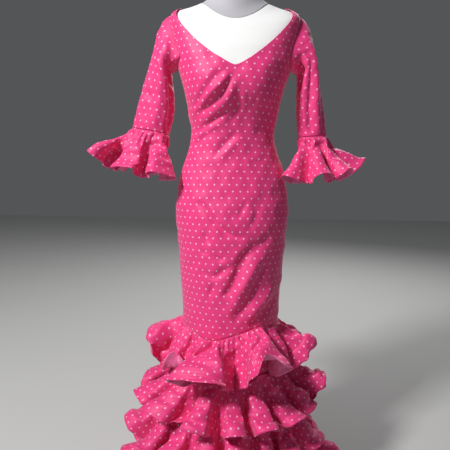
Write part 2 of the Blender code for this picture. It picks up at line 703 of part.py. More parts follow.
def cuff_seam(name):
    """The seam of a cuff flounce: the sleeve's last section."""
    side = SIDE_OF[name]
    ring = SLEEVES[name][-1]
    above = between(SLEEVES[name], 0.9)
    down = (sleeve_centre(ring, side) - sleeve_centre(above, side)).normalized()
    fine = 720

    def seam(degrees):
        points = sleeve_ring(ring, side, fine)
        k = round((degrees % 360) / 360 * fine) % fine
        along = (points[(k + 1) % fine] - points[k - 1]).normalized()
        out_way = along.cross(down).normalized() * (1.0 if side > 0 else -1.0)
        return points[k] + down * CUFF_START, out_way, along, down
    return seam


def make_sleeves(collection):
    for name, side in SIDE_OF.items():
        cloth_wall(f"sleeve_{name}", outward_rows(sleeve_grid(name), side), True, collection)
        columns = lobe_columns(CUFFS[name], CUFF_COLUMNS)
        grid = flounce_grid(columns, cuff_seam(name), CUFF_LENGTH, CUFF_VALLEY, CUFF_ROWS)
        cloth_wall(f"cuff_flounce_{name}", outward_rows(grid, side), True, collection)


# ---------------------------------------------------------------- the form and its stand
def form_ring(level):
    ring = []
    for k in range(FORM_COLUMNS):
        angle = -180.0 + 360.0 * k / FORM_COLUMNS
        off_ridge = abs(math.cos(math.radians(angle))) ** 0.5
        on_top = near_shoulder(level)
        inset = FORM_INSET * (1.0 - on_top) + SHOULDER_INSET * on_top * off_ridge
        ring.append(body_point(angle, level) - body_normal(angle, level) * inset)
    return ring


def smaller(ring, share, height):
    """A ring drawn in towards the form's axis, flat at a height."""
    return [Vector((p.x * share, p.y * share, height)) for p in ring]


def make_form(collection):
    levels = [NECK_JOINT - SEAM] + FORM_LEVELS + [FORM_BOTTOM + FORM_EDGE]
    rings = [form_ring(level) for level in levels]
    edge = rings[-1]
    rings.append(smaller(edge, 0.985, FORM_BOTTOM + FORM_EDGE / 4))
    rings.append(smaller(edge, 0.93, FORM_BOTTOM))
    capped_loft("form_torso", rings, FORM_SHELL, collection)
    rings = [form_ring(level) for level in NECK_LEVELS + [NECK_JOINT + SEAM]]
    rings.insert(0, smaller(rings[0], 0.90, NECK_TOP + NECK_DOME))
    capped_loft("form_neck", rings, FORM_NECK, collection)


def make_stand(collection):
    top = BASE_THICKNESS
    turned("stand_base", [(0, top), (BASE_RADIUS - BASE_BEVEL, top),
                          (BASE_RADIUS, top - BASE_BEVEL), (BASE_RADIUS, 0), (0, 0)],
           STAND_METAL, collection, 48)
    turned("stand_pole", [(0, FORM_BOTTOM - SEAM), (POLE_RADIUS, FORM_BOTTOM - SEAM),
                          (POLE_RADIUS, top + SEAM), (0, top + SEAM)],
           STAND_METAL, collection, 24)


# ---------------------------------------------------------------- the zip
def back_frame(level):
    """Axes on the centre back: X to +X, Y out of the cloth and Z up along it."""
    out_way = body_normal(180.0, level)
    upward = Vector((1.0, 0.0, 0.0)).cross(out_way)
    turned_to = Matrix((Vector((1.0, 0.0, 0.0)), out_way, upward)).transposed().to_4x4()
    turned_to.translation = dress_point(180.0, level)
    return turned_to


def box_mesh(bm, size, centre):
    made = bmesh.ops.create_cube(bm, size=1.0)
    bmesh.ops.scale(bm, vec=size, verts=made["verts"])
    bmesh.ops.translate(bm, vec=centre, verts=made["verts"])


def rod_mesh(bm, radius, length, centre, sides):
    """A rod along X."""
    made = bmesh.ops.create_cone(bm, cap_ends=True, segments=sides, radius1=radius,
                                 radius2=radius, depth=length)
    bmesh.ops.rotate(bm, matrix=Matrix.Rotation(math.pi / 2, 3, "Y"), verts=made["verts"])
    bmesh.ops.translate(bm, vec=centre, verts=made["verts"])


def hard_piece(name, shapes, frame, spec, collection, cut=None):
    """A piece of primitives joined by Booleans, in the axes of `frame`. Each shape is a
    function that adds its mesh; `cut` is taken away at the end."""
    def shape_object(label, shape):
        mesh = bpy.data.meshes.new(label)
        bm = bmesh.new()
        shape(bm)
        bmesh.ops.recalc_face_normals(bm, faces=bm.faces)
        bm.to_mesh(mesh)
        bm.free()
        mesh.materials.append(material(spec))
        made = bpy.data.objects.new(label, mesh)
        made.matrix_world = frame
        return made

    body = shape_object(name, shapes[0])
    collection.objects.link(body)
    helpers = bpy.data.collections.get("cutters") or bpy.data.collections.new("cutters")
    if helpers.name not in bpy.context.scene.collection.children:
        bpy.context.scene.collection.children.link(helpers)
    steps = [("UNION", shape) for shape in shapes[1:]] + ([("DIFFERENCE", cut)] if cut else [])
    for number, (operation, shape) in enumerate(steps):
        tool = shape_object(f"{name}_{number}", shape)
        tool.hide_render = True
        tool.display_type = "WIRE"
        helpers.objects.link(tool)
        joined = body.modifiers.new(operation.lower(), "BOOLEAN")
        joined.operation = operation
        joined.object = tool
    return body


def make_zip(collection):
    """A closed zip at the centre back, its slider at the top and the pull on its pin."""
    slider_level = NECKLINES["back", "left"].lowest - SLIDER_DOWN
    chain_top = slider_level - CHAIN_START
    grid = []
    for row in range(ZIP_ROWS + 1):
        frame = back_frame(chain_top + (ZIP_END - chain_top) * row / ZIP_ROWS)
        grid.append([frame @ Vector((x, 0.0, 0.0)) for x in (ZIP_WIDTH / 2, -ZIP_WIDTH / 2)])
    chain = cloth_wall("zip_chain", grid, False, collection, ZIP_NYLON)
    chain.modifiers["thickness"].thickness = ZIP_THICKNESS

    frame = back_frame(slider_level)
    lug_x = EYE_WIDTH / 2 + SEAM + LUG_WIDTH / 2
    lug_y = PIN_LIFT + LUG_OVER_PIN - LUG_HEIGHT / 2
    hard_piece("zip_slider", [
        lambda bm: box_mesh(bm, (ZIP_WIDTH, SLIDER_DEPTH, SLIDER_LENGTH), (0, 0, 0)),
        lambda bm: box_mesh(bm, (LUG_WIDTH, LUG_HEIGHT, LUG_LENGTH), (lug_x, lug_y, 0)),
        lambda bm: box_mesh(bm, (LUG_WIDTH, LUG_HEIGHT, LUG_LENGTH), (-lug_x, lug_y, 0)),
        lambda bm: rod_mesh(bm, PIN_RADIUS, 2 * lug_x, (0, PIN_LIFT, 0), 12),
    ], frame, ZIP_METAL, collection)

    pin_frame = frame @ Matrix.Translation((0.0, PIN_LIFT, 0.0))
    neck_middle = -(EYE_BORE + EYE_RADIUS) / 2 - TAB_NECK / 2
    hard_piece("zip_pull", [
        lambda bm: rod_mesh(bm, EYE_RADIUS, EYE_WIDTH, (0, 0, 0), 16),
        lambda bm: box_mesh(bm, (EYE_WIDTH * SHY, TAB_THICKNESS, TAB_NECK),
                            (0, 0, neck_middle)),
        lambda bm: box_mesh(bm, (TAB_WIDTH, TAB_THICKNESS * SHY, TAB_LENGTH),
                            (0, 0, -TAB_DROP - TAB_LENGTH / 2)),
    ], pin_frame, ZIP_METAL, collection,
        cut=lambda bm: rod_mesh(bm, EYE_BORE, EYE_WIDTH * 2, (0, 0, 0), 16))


def build():
    clear_scene()
    dress = bpy.data.collections.new("flamenco_dress")
    bpy.context.scene.collection.children.link(dress)
    make_form(dress)
    make_stand(dress)
    make_sheath(dress)
    make_under_skirt(dress)
    make_sleeves(dress)
    make_tiers(dress)
    make_zip(dress)


build()
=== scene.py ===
"""A flamenco dress on its dress form, finished piece by piece around the fixed frame.

The dress is a fitted sheath in a front and two backs, three-quarter sleeves with circular
cuff flounces, and five gathered tiers on a flared under-skirt. It closes with a zip at the
centre back and stands on a smooth dress form with a pole and a round base. Right and left
are the wearer's, so the right sleeve is at -X. The front faces -Y.

Each piece of cloth is a thin shell on a grid of points worked out from the sizes below, with
two UV maps in metres: "cut" lays the piece flat as it was cut, for the dots and the weave,
and "hem" measures along and away from its nearest turned edge, for the stitching.
"""
import math
from collections import namedtuple

import bmesh
import bpy
import numpy as np
from bpy.props import FloatProperty, FloatVectorProperty, PointerProperty
from mathutils import Matrix, Vector


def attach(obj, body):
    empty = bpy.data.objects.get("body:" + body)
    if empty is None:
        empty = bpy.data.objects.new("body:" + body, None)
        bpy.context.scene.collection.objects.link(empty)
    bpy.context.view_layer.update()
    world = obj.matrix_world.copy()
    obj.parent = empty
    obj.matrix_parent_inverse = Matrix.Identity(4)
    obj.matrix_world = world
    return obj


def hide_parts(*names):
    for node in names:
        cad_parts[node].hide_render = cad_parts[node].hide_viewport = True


bl_info = {
    "name": "Flamenco Dress",
    "version": (1, 0, 0),
    "blender": (4, 5, 0),
    "location": "3D View > Sidebar > Dress",
    "description": "Finishes a flamenco dress and its dress form around a fixed frame",
    "category": "Add Mesh",
}

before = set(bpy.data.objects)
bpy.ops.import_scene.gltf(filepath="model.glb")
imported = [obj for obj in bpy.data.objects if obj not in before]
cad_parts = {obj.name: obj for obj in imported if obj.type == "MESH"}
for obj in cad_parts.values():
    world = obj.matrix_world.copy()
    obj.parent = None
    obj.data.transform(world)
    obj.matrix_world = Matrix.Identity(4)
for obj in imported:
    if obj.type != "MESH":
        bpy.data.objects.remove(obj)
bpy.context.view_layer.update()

# ---------------------------------------------------------------- sizes (metres, degrees)
CLOTH = 0.0006         # thickness of the cloth as sewn
SHEATH_OFF = 0.0024    # from the body to the middle of the sheath's cloth
SHOULDER_OFF = 0.0021  # the same on the shoulders
SHOULDER_START, SHOULDER_SPAN = 1.360, 0.060
CLOSEST = -0.0011      # the deepest that a fold sinks towards the body
SEAM = 0.0003          # clearance between two edges at a seam
SEAM_DIP, SEAM_REACH = 0.0009, 0.0030   # how the cloth turns in to a seam
SEAM_LAP = 0.0010      # the sheath's lower edge covers the first tier's edge
UNDER_TUCK = -0.0024   # the under-skirt lies this far inside the line of the sheath
FORM_INSET, SHOULDER_INSET = 0.0010, 0.0058
FORM_BOTTOM, NECK_JOINT, NECK_TOP = 0.800, 1.462, 1.560
UNDERARM, ARMHOLE_TOP, ARMHOLE_RISE = 1.284, 1.427, 0.026
SKIRT_SEAM, HEM = 0.548, 0.016
ZIP_END, ZIP_HALF_GAP, SEAM_START, ZIP_FADE = 0.860, 0.0021, 0.851, 0.008
FAR = 1.0              # "hem" distance of cloth that has no turned edge near it

# Sections of the body, each named by its height at the sides.
Section = namedtuple("Section", "level half_width front back front_z back_z square")
SECTIONS = [
    Section(0.016, 0.2450, 0.2280, 0.2320, 0.016, 0.016, 2.0),
    Section(0.115, 0.2275, 0.2095, 0.2135, 0.115, 0.115, 2.0),
    Section(0.220, 0.2090, 0.1900, 0.1940, 0.220, 0.220, 2.0),
    Section(0.325, 0.1845, 0.1660, 0.1700, 0.325, 0.325, 2.0),
    Section(0.430, 0.1600, 0.1420, 0.1460, 0.430, 0.430, 2.0),
    Section(0.538, 0.1430, 0.124, 0.127, 0.538, 0.538, 2.05),
    Section(0.610, 0.1425, 0.121, 0.126, 0.610, 0.610, 2.1),
    Section(0.700, 0.1485, 0.119, 0.127, 0.700, 0.700, 2.1),
    Section(0.800, 0.1555, 0.117, 0.131, 0.800, 0.800, 2.15),
    Section(0.886, 0.1620, 0.114, 0.133, 0.886, 0.886, 2.2),
    Section(0.960, 0.1545, 0.106, 0.126, 0.960, 0.960, 2.2),
    Section(1.020, 0.1390, 0.096, 0.106, 1.020, 1.020, 2.2),
    Section(1.065, 0.1225, 0.089, 0.092, 1.065, 1.065, 2.2),
    Section(1.112, 0.1145, 0.087, 0.085, 1.112, 1.112, 2.2),
    Section(1.160, 0.1240, 0.099, 0.088, 1.160, 1.160, 2.3),
    Section(1.210, 0.1320, 0.119, 0.095, 1.210, 1.210, 2.4),
    Section(1.262, 0.1480, 0.123, 0.101, 1.262, 1.262, 2.45),
    Section(1.330, 0.1640, 0.112, 0.103, 1.312, 1.318, 2.5),
    Section(1.390, 0.1740, 0.098, 0.098, 1.352, 1.368, 2.5),
    Section(1.424, 0.1765, 0.087, 0.088, 1.379, 1.400, 2.4),
    Section(1.440, 0.1580, 0.079, 0.078, 1.394, 1.420, 2.2),
    Section(1.452, 0.1190, 0.073, 0.069, 1.404, 1.438, 2.0),
    Section(1.466, 0.0860, 0.067, 0.062, 1.414, 1.454, 2.0),
    Section(1.485, 0.0690, 0.060, 0.056, 1.436, 1.476, 2.0),
    Section(1.515, 0.0580, 0.053, 0.053, 1.486, 1.510, 2.0),
    Section(1.560, 0.0545, 0.052, 0.052, 1.550, 1.558, 2.0),
]
Rise = namedtuple("Rise", "at height spread")
SEAM_RISES = [Rise(-22.0, -0.019, 22.0), Rise(38.0, 0.019, 25.0)]
CUP_X, CUP_Z, CUP_DEPTH, CUP_WIDTH, CUP_HEIGHT = 0.066, 1.232, 0.012, 0.050, 0.045

# Columns and rows of the sheath's panels.
NECK_COLUMN, ARMHOLE_COLUMN = 48.0, 62.0
LATE, CLIMB, ROW_CENTRE = 1.7, 1.35, 1.258
Neckline = namedtuple("Neckline", "lowest edge curve fuller")
NECKLINES = {
    ("front", "right"): Neckline(1.2815, 1.4435, 1.10, 0.28),
    ("front", "left"): Neckline(1.2815, 1.4465, 1.10, 0.45),
    ("back", "right"): Neckline(1.3720, 1.4435, 1.10, 0.28),
    ("back", "left"): Neckline(1.3720, 1.4465, 1.10, 0.28),
}
SIDE_OF = {"right": -1.0, "left": 1.0}
LOWER_ROWS, UPPER_ROWS = 132, 56

# Folds of the sheath, seen square on: a line of (x, z) points, the fold's half width, and
# how far it stands out (+) or sinks (-). Slack raises a patch of cloth that folds sink in.
Fold = namedtuple("Fold", "line width depth")
Slack = namedtuple("Slack", "x z reach_x reach_z height")
FRONT_SLACK = [
    Slack(-0.055, 1.195, 0.062, 0.080, 0.0080),
    Slack(-0.045, 1.095, 0.075, 0.065, 0.0060),
    Slack(0.030, 0.715, 0.085, 0.120, 0.0105),
    Slack(-0.020, 0.855, 0.090, 0.060, 0.0060),
    Slack(-0.060, 0.760, 0.060, 0.080, 0.0040),
]
FRONT_FOLDS = [
    Fold([(-0.028, 1.264), (-0.053, 1.243), (-0.069, 1.224), (-0.083, 1.203),
          (-0.100, 1.173)], 0.0085, -0.0095),
    Fold([(-0.010, 1.259), (-0.038, 1.231), (-0.058, 1.214), (-0.077, 1.196),
          (-0.103, 1.163)], 0.0060, 0.0075),
    Fold([(-0.005, 1.254), (-0.020, 1.227), (-0.035, 1.207), (-0.064, 1.181),
          (-0.101, 1.150)], 0.0070, -0.0100),
    Fold([(0.005, 1.250), (-0.014, 1.205), (-0.040, 1.171), (-0.084, 1.136)], 0.0110, 0.0060),
    Fold([(0.013, 1.235), (0.012, 1.201), (0.005, 1.161), (-0.021, 1.130)], 0.0090, -0.0050),
    Fold([(-0.014, 1.171), (-0.048, 1.146), (-0.075, 1.125), (-0.104, 1.104)], 0.0075, -0.0062),
    Fold([(-0.032, 1.141), (-0.070, 1.109), (-0.104, 1.085)], 0.0075, 0.0045),
    Fold([(-0.056, 1.115), (-0.081, 1.093), (-0.104, 1.066)], 0.0070, -0.0060),
    Fold([(0.011, 1.115), (-0.015, 1.086), (-0.034, 1.064), (-0.052, 1.040)], 0.0090, -0.0062),
    Fold([(0.025, 1.099), (-0.001, 1.072), (-0.031, 1.040)], 0.0090, 0.0040),
    Fold([(0.070, 1.251), (0.053, 1.215), (0.041, 1.182), (0.016, 1.136)], 0.0130, -0.0040),
    Fold([(0.096, 1.047), (0.068, 1.030), (0.040, 1.025)], 0.0080, -0.0032),
    Fold([(0.094, 0.955), (0.072, 0.912), (0.059, 0.871), (0.038, 0.839)], 0.0090, -0.0050),
    Fold([(0.044, 0.934), (0.026, 0.901), (0.015, 0.874)], 0.0080, -0.0040),
    Fold([(-0.101, 0.916), (-0.078, 0.910), (-0.061, 0.889), (-0.042, 0.862), (-0.012, 0.838),
          (0.016, 0.828), (0.043, 0.830)], 0.0080, -0.0090),
    Fold([(-0.084, 0.923), (-0.056, 0.900), (-0.023, 0.868), (0.016, 0.847)], 0.0110, 0.0050),
    Fold([(0.105, 0.830), (0.077, 0.807), (0.047, 0.786), (0.028, 0.764), (0.018, 0.733),
          (0.004, 0.696), (-0.014, 0.650)], 0.0125, -0.0150),
    Fold([(-0.091, 0.729), (-0.065, 0.721), (-0.048, 0.714), (-0.026, 0.729), (-0.005, 0.744),
          (0.017, 0.758)], 0.0090, -0.0070),
    Fold([(0.101, 0.788), (0.067, 0.756), (0.048, 0.721), (0.030, 0.687), (0.011, 0.645),
          (-0.014, 0.598)], 0.0110, 0.0085),
    Fold([(0.096, 0.754), (0.077, 0.719), (0.063, 0.682), (0.047, 0.643), (0.023, 0.610),
          (0.004, 0.573)], 0.0105, -0.0110),
    Fold([(0.116, 0.691), (0.093, 0.649), (0.062, 0.616), (0.037, 0.580)], 0.0110, 0.0075),
    Fold([(0.131, 0.655), (0.106, 0.622), (0.077, 0.593), (0.055, 0.561)], 0.0090, -0.0080),
    Fold([(0.013, 0.699), (-0.009, 0.676), (-0.028, 0.655)], 0.0080, -0.0062),
    Fold([(-0.080, 0.841), (-0.069, 0.825), (-0.058, 0.803)], 0.0070, -0.0058),
    Fold([(-0.088, 0.786), (-0.074, 0.782), (-0.060, 0.786)], 0.0055, -0.0052),
    Fold([(-0.044, 0.773), (-0.030, 0.766), (-0.016, 0.772)], 0.0062, -0.0058),
    Fold([(-0.048, 0.694), (-0.056, 0.670), (-0.062, 0.640)], 0.0070, -0.0045),
    Fold([(-0.130, 0.743), (-0.118, 0.735), (-0.100, 0.727)], 0.0060, -0.0035),
    Fold([(-0.138, 0.633), (-0.112, 0.626), (-0.082, 0.617)], 0.0080, -0.0034),
]
BACK_SLACK = [
    Slack(0.000, 1.030, 0.080, 0.050, 0.0056),
    Slack(-0.020, 0.700, 0.100, 0.120, 0.0059),
]
BACK_FOLDS = [
    Fold([(-0.112, 1.128), (-0.070, 1.100), (-0.030, 1.076), (-0.008, 1.060)], 0.0077, -0.0070),
    Fold([(-0.110, 1.104), (-0.066, 1.078), (-0.026, 1.052)], 0.0081, 0.0046),
    Fold([(0.112, 1.116), (0.072, 1.086), (0.034, 1.062), (0.010, 1.050)], 0.0077, -0.0067),
    Fold([(0.110, 1.092), (0.068, 1.062), (0.024, 1.034)], 0.0081, 0.0043),
    Fold([(-0.100, 1.056), (-0.060, 1.034), (-0.014, 1.024)], 0.0067, -0.0049),
    Fold([(0.104, 1.050), (0.058, 1.024), (0.016, 1.012)], 0.0067, -0.0043),
    Fold([(-0.128, 0.842), (-0.082, 0.800), (-0.050, 0.742), (-0.014, 0.690)], 0.0108, -0.0075),
    Fold([(-0.124, 0.806), (-0.084, 0.760), (-0.050, 0.700), (-0.020, 0.650)], 0.0117, 0.0049),
    Fold([(0.122, 0.782), (0.084, 0.730), (0.052, 0.664), (0.014, 0.590)], 0.0108, -0.0078),
    Fold([(0.124, 0.742), (0.090, 0.690), (0.060, 0.624), (0.030, 0.570)], 0.0117, 0.0052),
    Fold([(-0.118, 0.690), (-0.078, 0.640), (-0.050, 0.580)], 0.0099, -0.0058),
    Fold([(0.060, 1.300), (0.092, 1.262), (0.120, 1.236)], 0.0090, -0.0032),
    Fold([(-0.060, 1.300), (-0.094, 1.258), (-0.122, 1.230)], 0.0090, -0.0038),
]
DART_X, DART_TOP, DART_BOTTOM = 0.058, 1.215, 0.985   # the back's waist darts
DART_WIDTH, DART_DEPTH, DART_FADE = 0.0016, 0.0009, 0.03
SHEATH_RIPPLE, SLEEVE_RIPPLE = (0.045, 0.0011), (0.035, 0.0008)   # size and height

# Sleeves: the outermost and innermost point of each section with its depth and lean.
SleeveRing = namedtuple("SleeveRing", "outer_x outer_z inner_x inner_z depth lean")
SLEEVES = {
    "right": [
        SleeveRing(0.2330, 1.312, 0.1760, 1.268, 0.056, 0.010),
        SleeveRing(0.2540, 1.247, 0.1700, 1.212, 0.050, 0.017),
        SleeveRing(0.2730, 1.185, 0.1700, 1.163, 0.043, 0.020),
        SleeveRing(0.2900, 1.121, 0.1850, 1.100, 0.036, 0.017),
    ],
    "left": [
        SleeveRing(0.2260, 1.312, 0.1790, 1.268, 0.056, -0.004),
        SleeveRing(0.2430, 1.243, 0.1790, 1.208, 0.050, 0.002),
        SleeveRing(0.2560, 1.180, 0.1810, 1.160, 0.046, 0.008),
        SleeveRing(0.2685, 1.105, 0.1865, 1.100, 0.043, 0.006),
    ],
}
SLEEVE_COLUMNS, CAP_ROWS, ARM_ROWS = 96, 26, 58
ARMHOLE_START, CAP_PULL = -0.0006, 0.32
SLEEVE_LEAVES = (0.95, -0.31)   # the way out of an armhole: across and up
SLEEVE_STRETCH = 260.0  # one length of a sleeve counts as this many degrees, to draw folds
# Folds of a sleeve: (degrees round from its outermost point by the front, share of the way
# down), width in degrees.
SLEEVE_FOLDS = {
    "right": [
        Fold([(76, 0.02), (80, 0.35), (84, 0.70), (82, 1.00)], 15.0, 0.0100),
        Fold([(92, 0.02), (97, 0.30), (106, 0.65), (110, 1.00)], 11.0, 0.0060),
        Fold([(132, 0.02), (138, 0.50), (144, 1.00)], 24.0, -0.0130),
        Fold([(38, 0.30), (34, 0.60), (30, 0.95)], 14.0, 0.0026),
        Fold([(128, 0.22), (160, 0.28), (196, 0.30)], 12.0, -0.0046),
        Fold([(120, 0.30), (156, 0.36), (190, 0.40)], 11.0, 0.0030),
        Fold([(100, 0.60), (60, 0.66), (20, 0.70)], 9.0, -0.0018),
        Fold([(230, 0.20), (250, 0.55), (262, 0.95)], 18.0, -0.0044),
        Fold([(290, 0.20), (296, 0.60), (300, 0.98)], 16.0, 0.0036),
    ],
    "left": [
        Fold([(46, 0.06), (56, 0.40), (62, 0.75), (66, 1.00)], 13.0, 0.0084),
        Fold([(82, 0.10), (90, 0.45), (94, 0.85), (96, 1.00)], 14.0, -0.0076),
        Fold([(122, 0.14), (124, 0.50), (122, 0.95)], 14.0, 0.0040),
        Fold([(138, 0.04), (146, 0.22), (158, 0.42)], 17.0, -0.0170),
        Fold([(96, 0.11), (120, 0.15), (148, 0.22)], 13.0, -0.0110),
        Fold([(24, 0.25), (28, 0.60), (36, 0.98)], 12.0, -0.0030),
        Fold([(150, 0.55), (110, 0.62), (70, 0.66)], 9.0, -0.0018),
        Fold([(240, 0.20), (252, 0.55), (258, 0.95)], 18.0, -0.0042),
        Fold([(300, 0.20), (300, 0.60), (296, 0.98)], 16.0, 0.0034),
    ],
}

# Flounces. A lobe: where its crest is on the seam, how many degrees it stands away from the
# drop, how far it leans along the hem, how many degrees its hem turns up, how far its sides
# turn in (90 is square to the seam), how much steeper it starts than it ends, and how round
# its top is (less is flatter).
Lobe = namedtuple("Lobe", "at spread lean curl loop sag round",
                  defaults=(0.0, 10, 78, 0.0, 0.8))
# How a flounce hangs: the spread of its valleys, the share of a lobe's spread at the seam and
# at the hem, how far behind the seam its folds seem to start, and how far a crest swells over
# the valleys beside it.
Hang = namedtuple("Hang", "valley start end root swell")
# A corner of the hem that folds up: its place and half width in degrees on the seam, the
# share of the length that it starts at, and how many degrees it turns.
Flip = namedtuple("Flip", "at width start turn")
LOOP_REACH = 0.62      # by this share of the length the sides have turned in fully
CURL_FROM = 0.66       # a hem turns up beyond this share of the cloth's length
GATHER_DEPTH, GATHER_PITCH, GATHER_FADE = 0.0018, 0.013, 0.20
CREASE_DEPTH, CREASE_WIDTH = 0.0075, 0.15
FRILL_DEPTH, FRILL_PITCH = 0.0030, 0.036
FINE_RIPPLE, BROAD_RIPPLE = (0.034, 0.0010), (0.062, 0.0042)   # size and height
CUFF_LENGTH, CUFF_START, CUFF_ROWS = 0.127, 0.0006, 30
CUFF_COLUMNS, FIRST_TIER_COLUMNS, TIER_COLUMNS = 40, 40, 32   # to a lobe
CUFF_HANG = Hang(8.0, 0.45, 1.05, 0.045, 0.070)
CUFFS = {
    "right": [Lobe(-8, 63, -0.004, -36, 122), Lobe(58, 38, -0.006, -10, 104, 0, 0.6),
              Lobe(117, 46, 0.008, -14, 104, 0, 0.6), Lobe(172, 6, 0, 0, 40),
              Lobe(232, 22, 0, 4, 60), Lobe(292, 50, 0.010, 8)],
    "left": [Lobe(-4, 64, -0.006, 10), Lobe(44, 48, 0.010, 8), Lobe(90, 42, -0.010, 16, 90),
             Lobe(133, 46, 0.010, 8, 85), Lobe(172, 3, 0, 0, 40), Lobe(235, 20, 0, 4, 60),
             Lobe(298, 50, -0.010, 8)],
}
Tier = namedtuple("Tier", "name seam length rows hang front_lobes lobes_behind spread_behind")
TIER_OFF, FIRST_TIER_OFF = 0.00162, -0.0006
TURN_UNEVEN, SPREAD_UNEVEN, LEAN_UNEVEN = 2.0, 5.0, 0.018   # of the lobes behind
CURL_BEHIND, CURL_UNEVEN, LOOP_BEHIND, LOOP_UNEVEN = 12.0, 6.0, 80.0, 10.0
LOWER_HANG = Hang(13.0, 0.55, 1.02, 0.100, 0.115)
TIERS = [
    Tier("tier_1", SKIRT_SEAM, 0.131, 40, Hang(14.0, 0.80, 0.98, 0.100, 0.150),
         [Lobe(-93, 79, 0.004, -150, 118, 0.20, 0.6), Lobe(-67, 36, -0.010, 20, 84, 0.3),
          Lobe(-17, 73, -0.018, -8, 104, 0.4, 0.55), Lobe(26, 69, 0.018, 4, 98, 0.4, 0.6),
          Lobe(56, 28, 0.006, -12, 88, 0.2), Lobe(79, 82, 0.004, -110, 66, 0.1, 0.6)], 7, 58),
    Tier("tier_2", 0.430, 0.142, 36, LOWER_HANG,
         [Lobe(-93, 74, 0.008, -130, 118), Lobe(-68, 66, -0.040, -18, 100),
          Lobe(-43, 60, -0.058, -10, 111), Lobe(-19, 54, -0.014, -16, 102),
          Lobe(2, 50, 0.006, 14, 104), Lobe(22, 54, 0.016, -12, 109),
          Lobe(43, 50, 0.022, 16, 104), Lobe(65, 54, 0.018, -24, 102),
          Lobe(87, 96, -0.012, -120, 96)], 8, 52),
    Tier("tier_3", 0.325, 0.148, 34, LOWER_HANG,
         [Lobe(-81, 66, -0.016, -16, 104), Lobe(-59, 58, 0.020, 14, 102),
          Lobe(-38, 48, -0.024, -18, 109), Lobe(-17, 55, 0.018, 16, 104),
          Lobe(5, 55, -0.016, -14, 107), Lobe(25, 48, 0.018, 16, 100),
          Lobe(46, 55, -0.020, -20, 107), Lobe(68, 50, 0.018, 16, 102),
          Lobe(90, 46, -0.010, -24, 97)], 8, 53),
    Tier("tier_4", 0.220, 0.150, 30, LOWER_HANG,
         [Lobe(-90, 56, 0.014, 12, 100), Lobe(-70, 60, -0.020, -18, 104),
          Lobe(-50, 50, 0.020, 14, 107), Lobe(-30, 57, -0.016, -14, 104),
          Lobe(-10, 50, 0.016, 16, 107), Lobe(10, 57, -0.018, -16, 102),
          Lobe(30, 50, 0.020, 16, 107), Lobe(50, 56, -0.018, -14, 104),
          Lobe(70, 57, 0.014, 14, 102), Lobe(89, 68, -0.012, -10, 100)], 8, 54),
    Tier("tier_5", 0.115, 0.104, 24, LOWER_HANG,
         [Lobe(-81, 56, 0.010, 10, 100), Lobe(-63, 49, -0.014, -12, 102),
          Lobe(-45, 56, 0.014, 10, 104), Lobe(-27, 48, -0.012, 14, 102),
          Lobe(-9, 54, 0.014, -10, 104), Lobe(9, 49, -0.012, 14, 102),
          Lobe(27, 56, 0.012, 10, 104), Lobe(45, 49, -0.014, -12, 102),
          Lobe(63, 56, 0.012, 10, 104), Lobe(81, 52, -0.010, 12, 100)], 9, 52),
]
FLIPS = {
    "tier_1": [Flip(-53, 6.0, 0.66, 140), Flip(24, 2.2, 0.74, 120)],
    "tier_2": [Flip(-30, 4.5, 0.74, 110), Flip(31, 4.5, 0.72, 110)],
    "tier_3": [Flip(16, 4.0, 0.78, 90), Flip(-48, 4.0, 0.78, 90)],
}
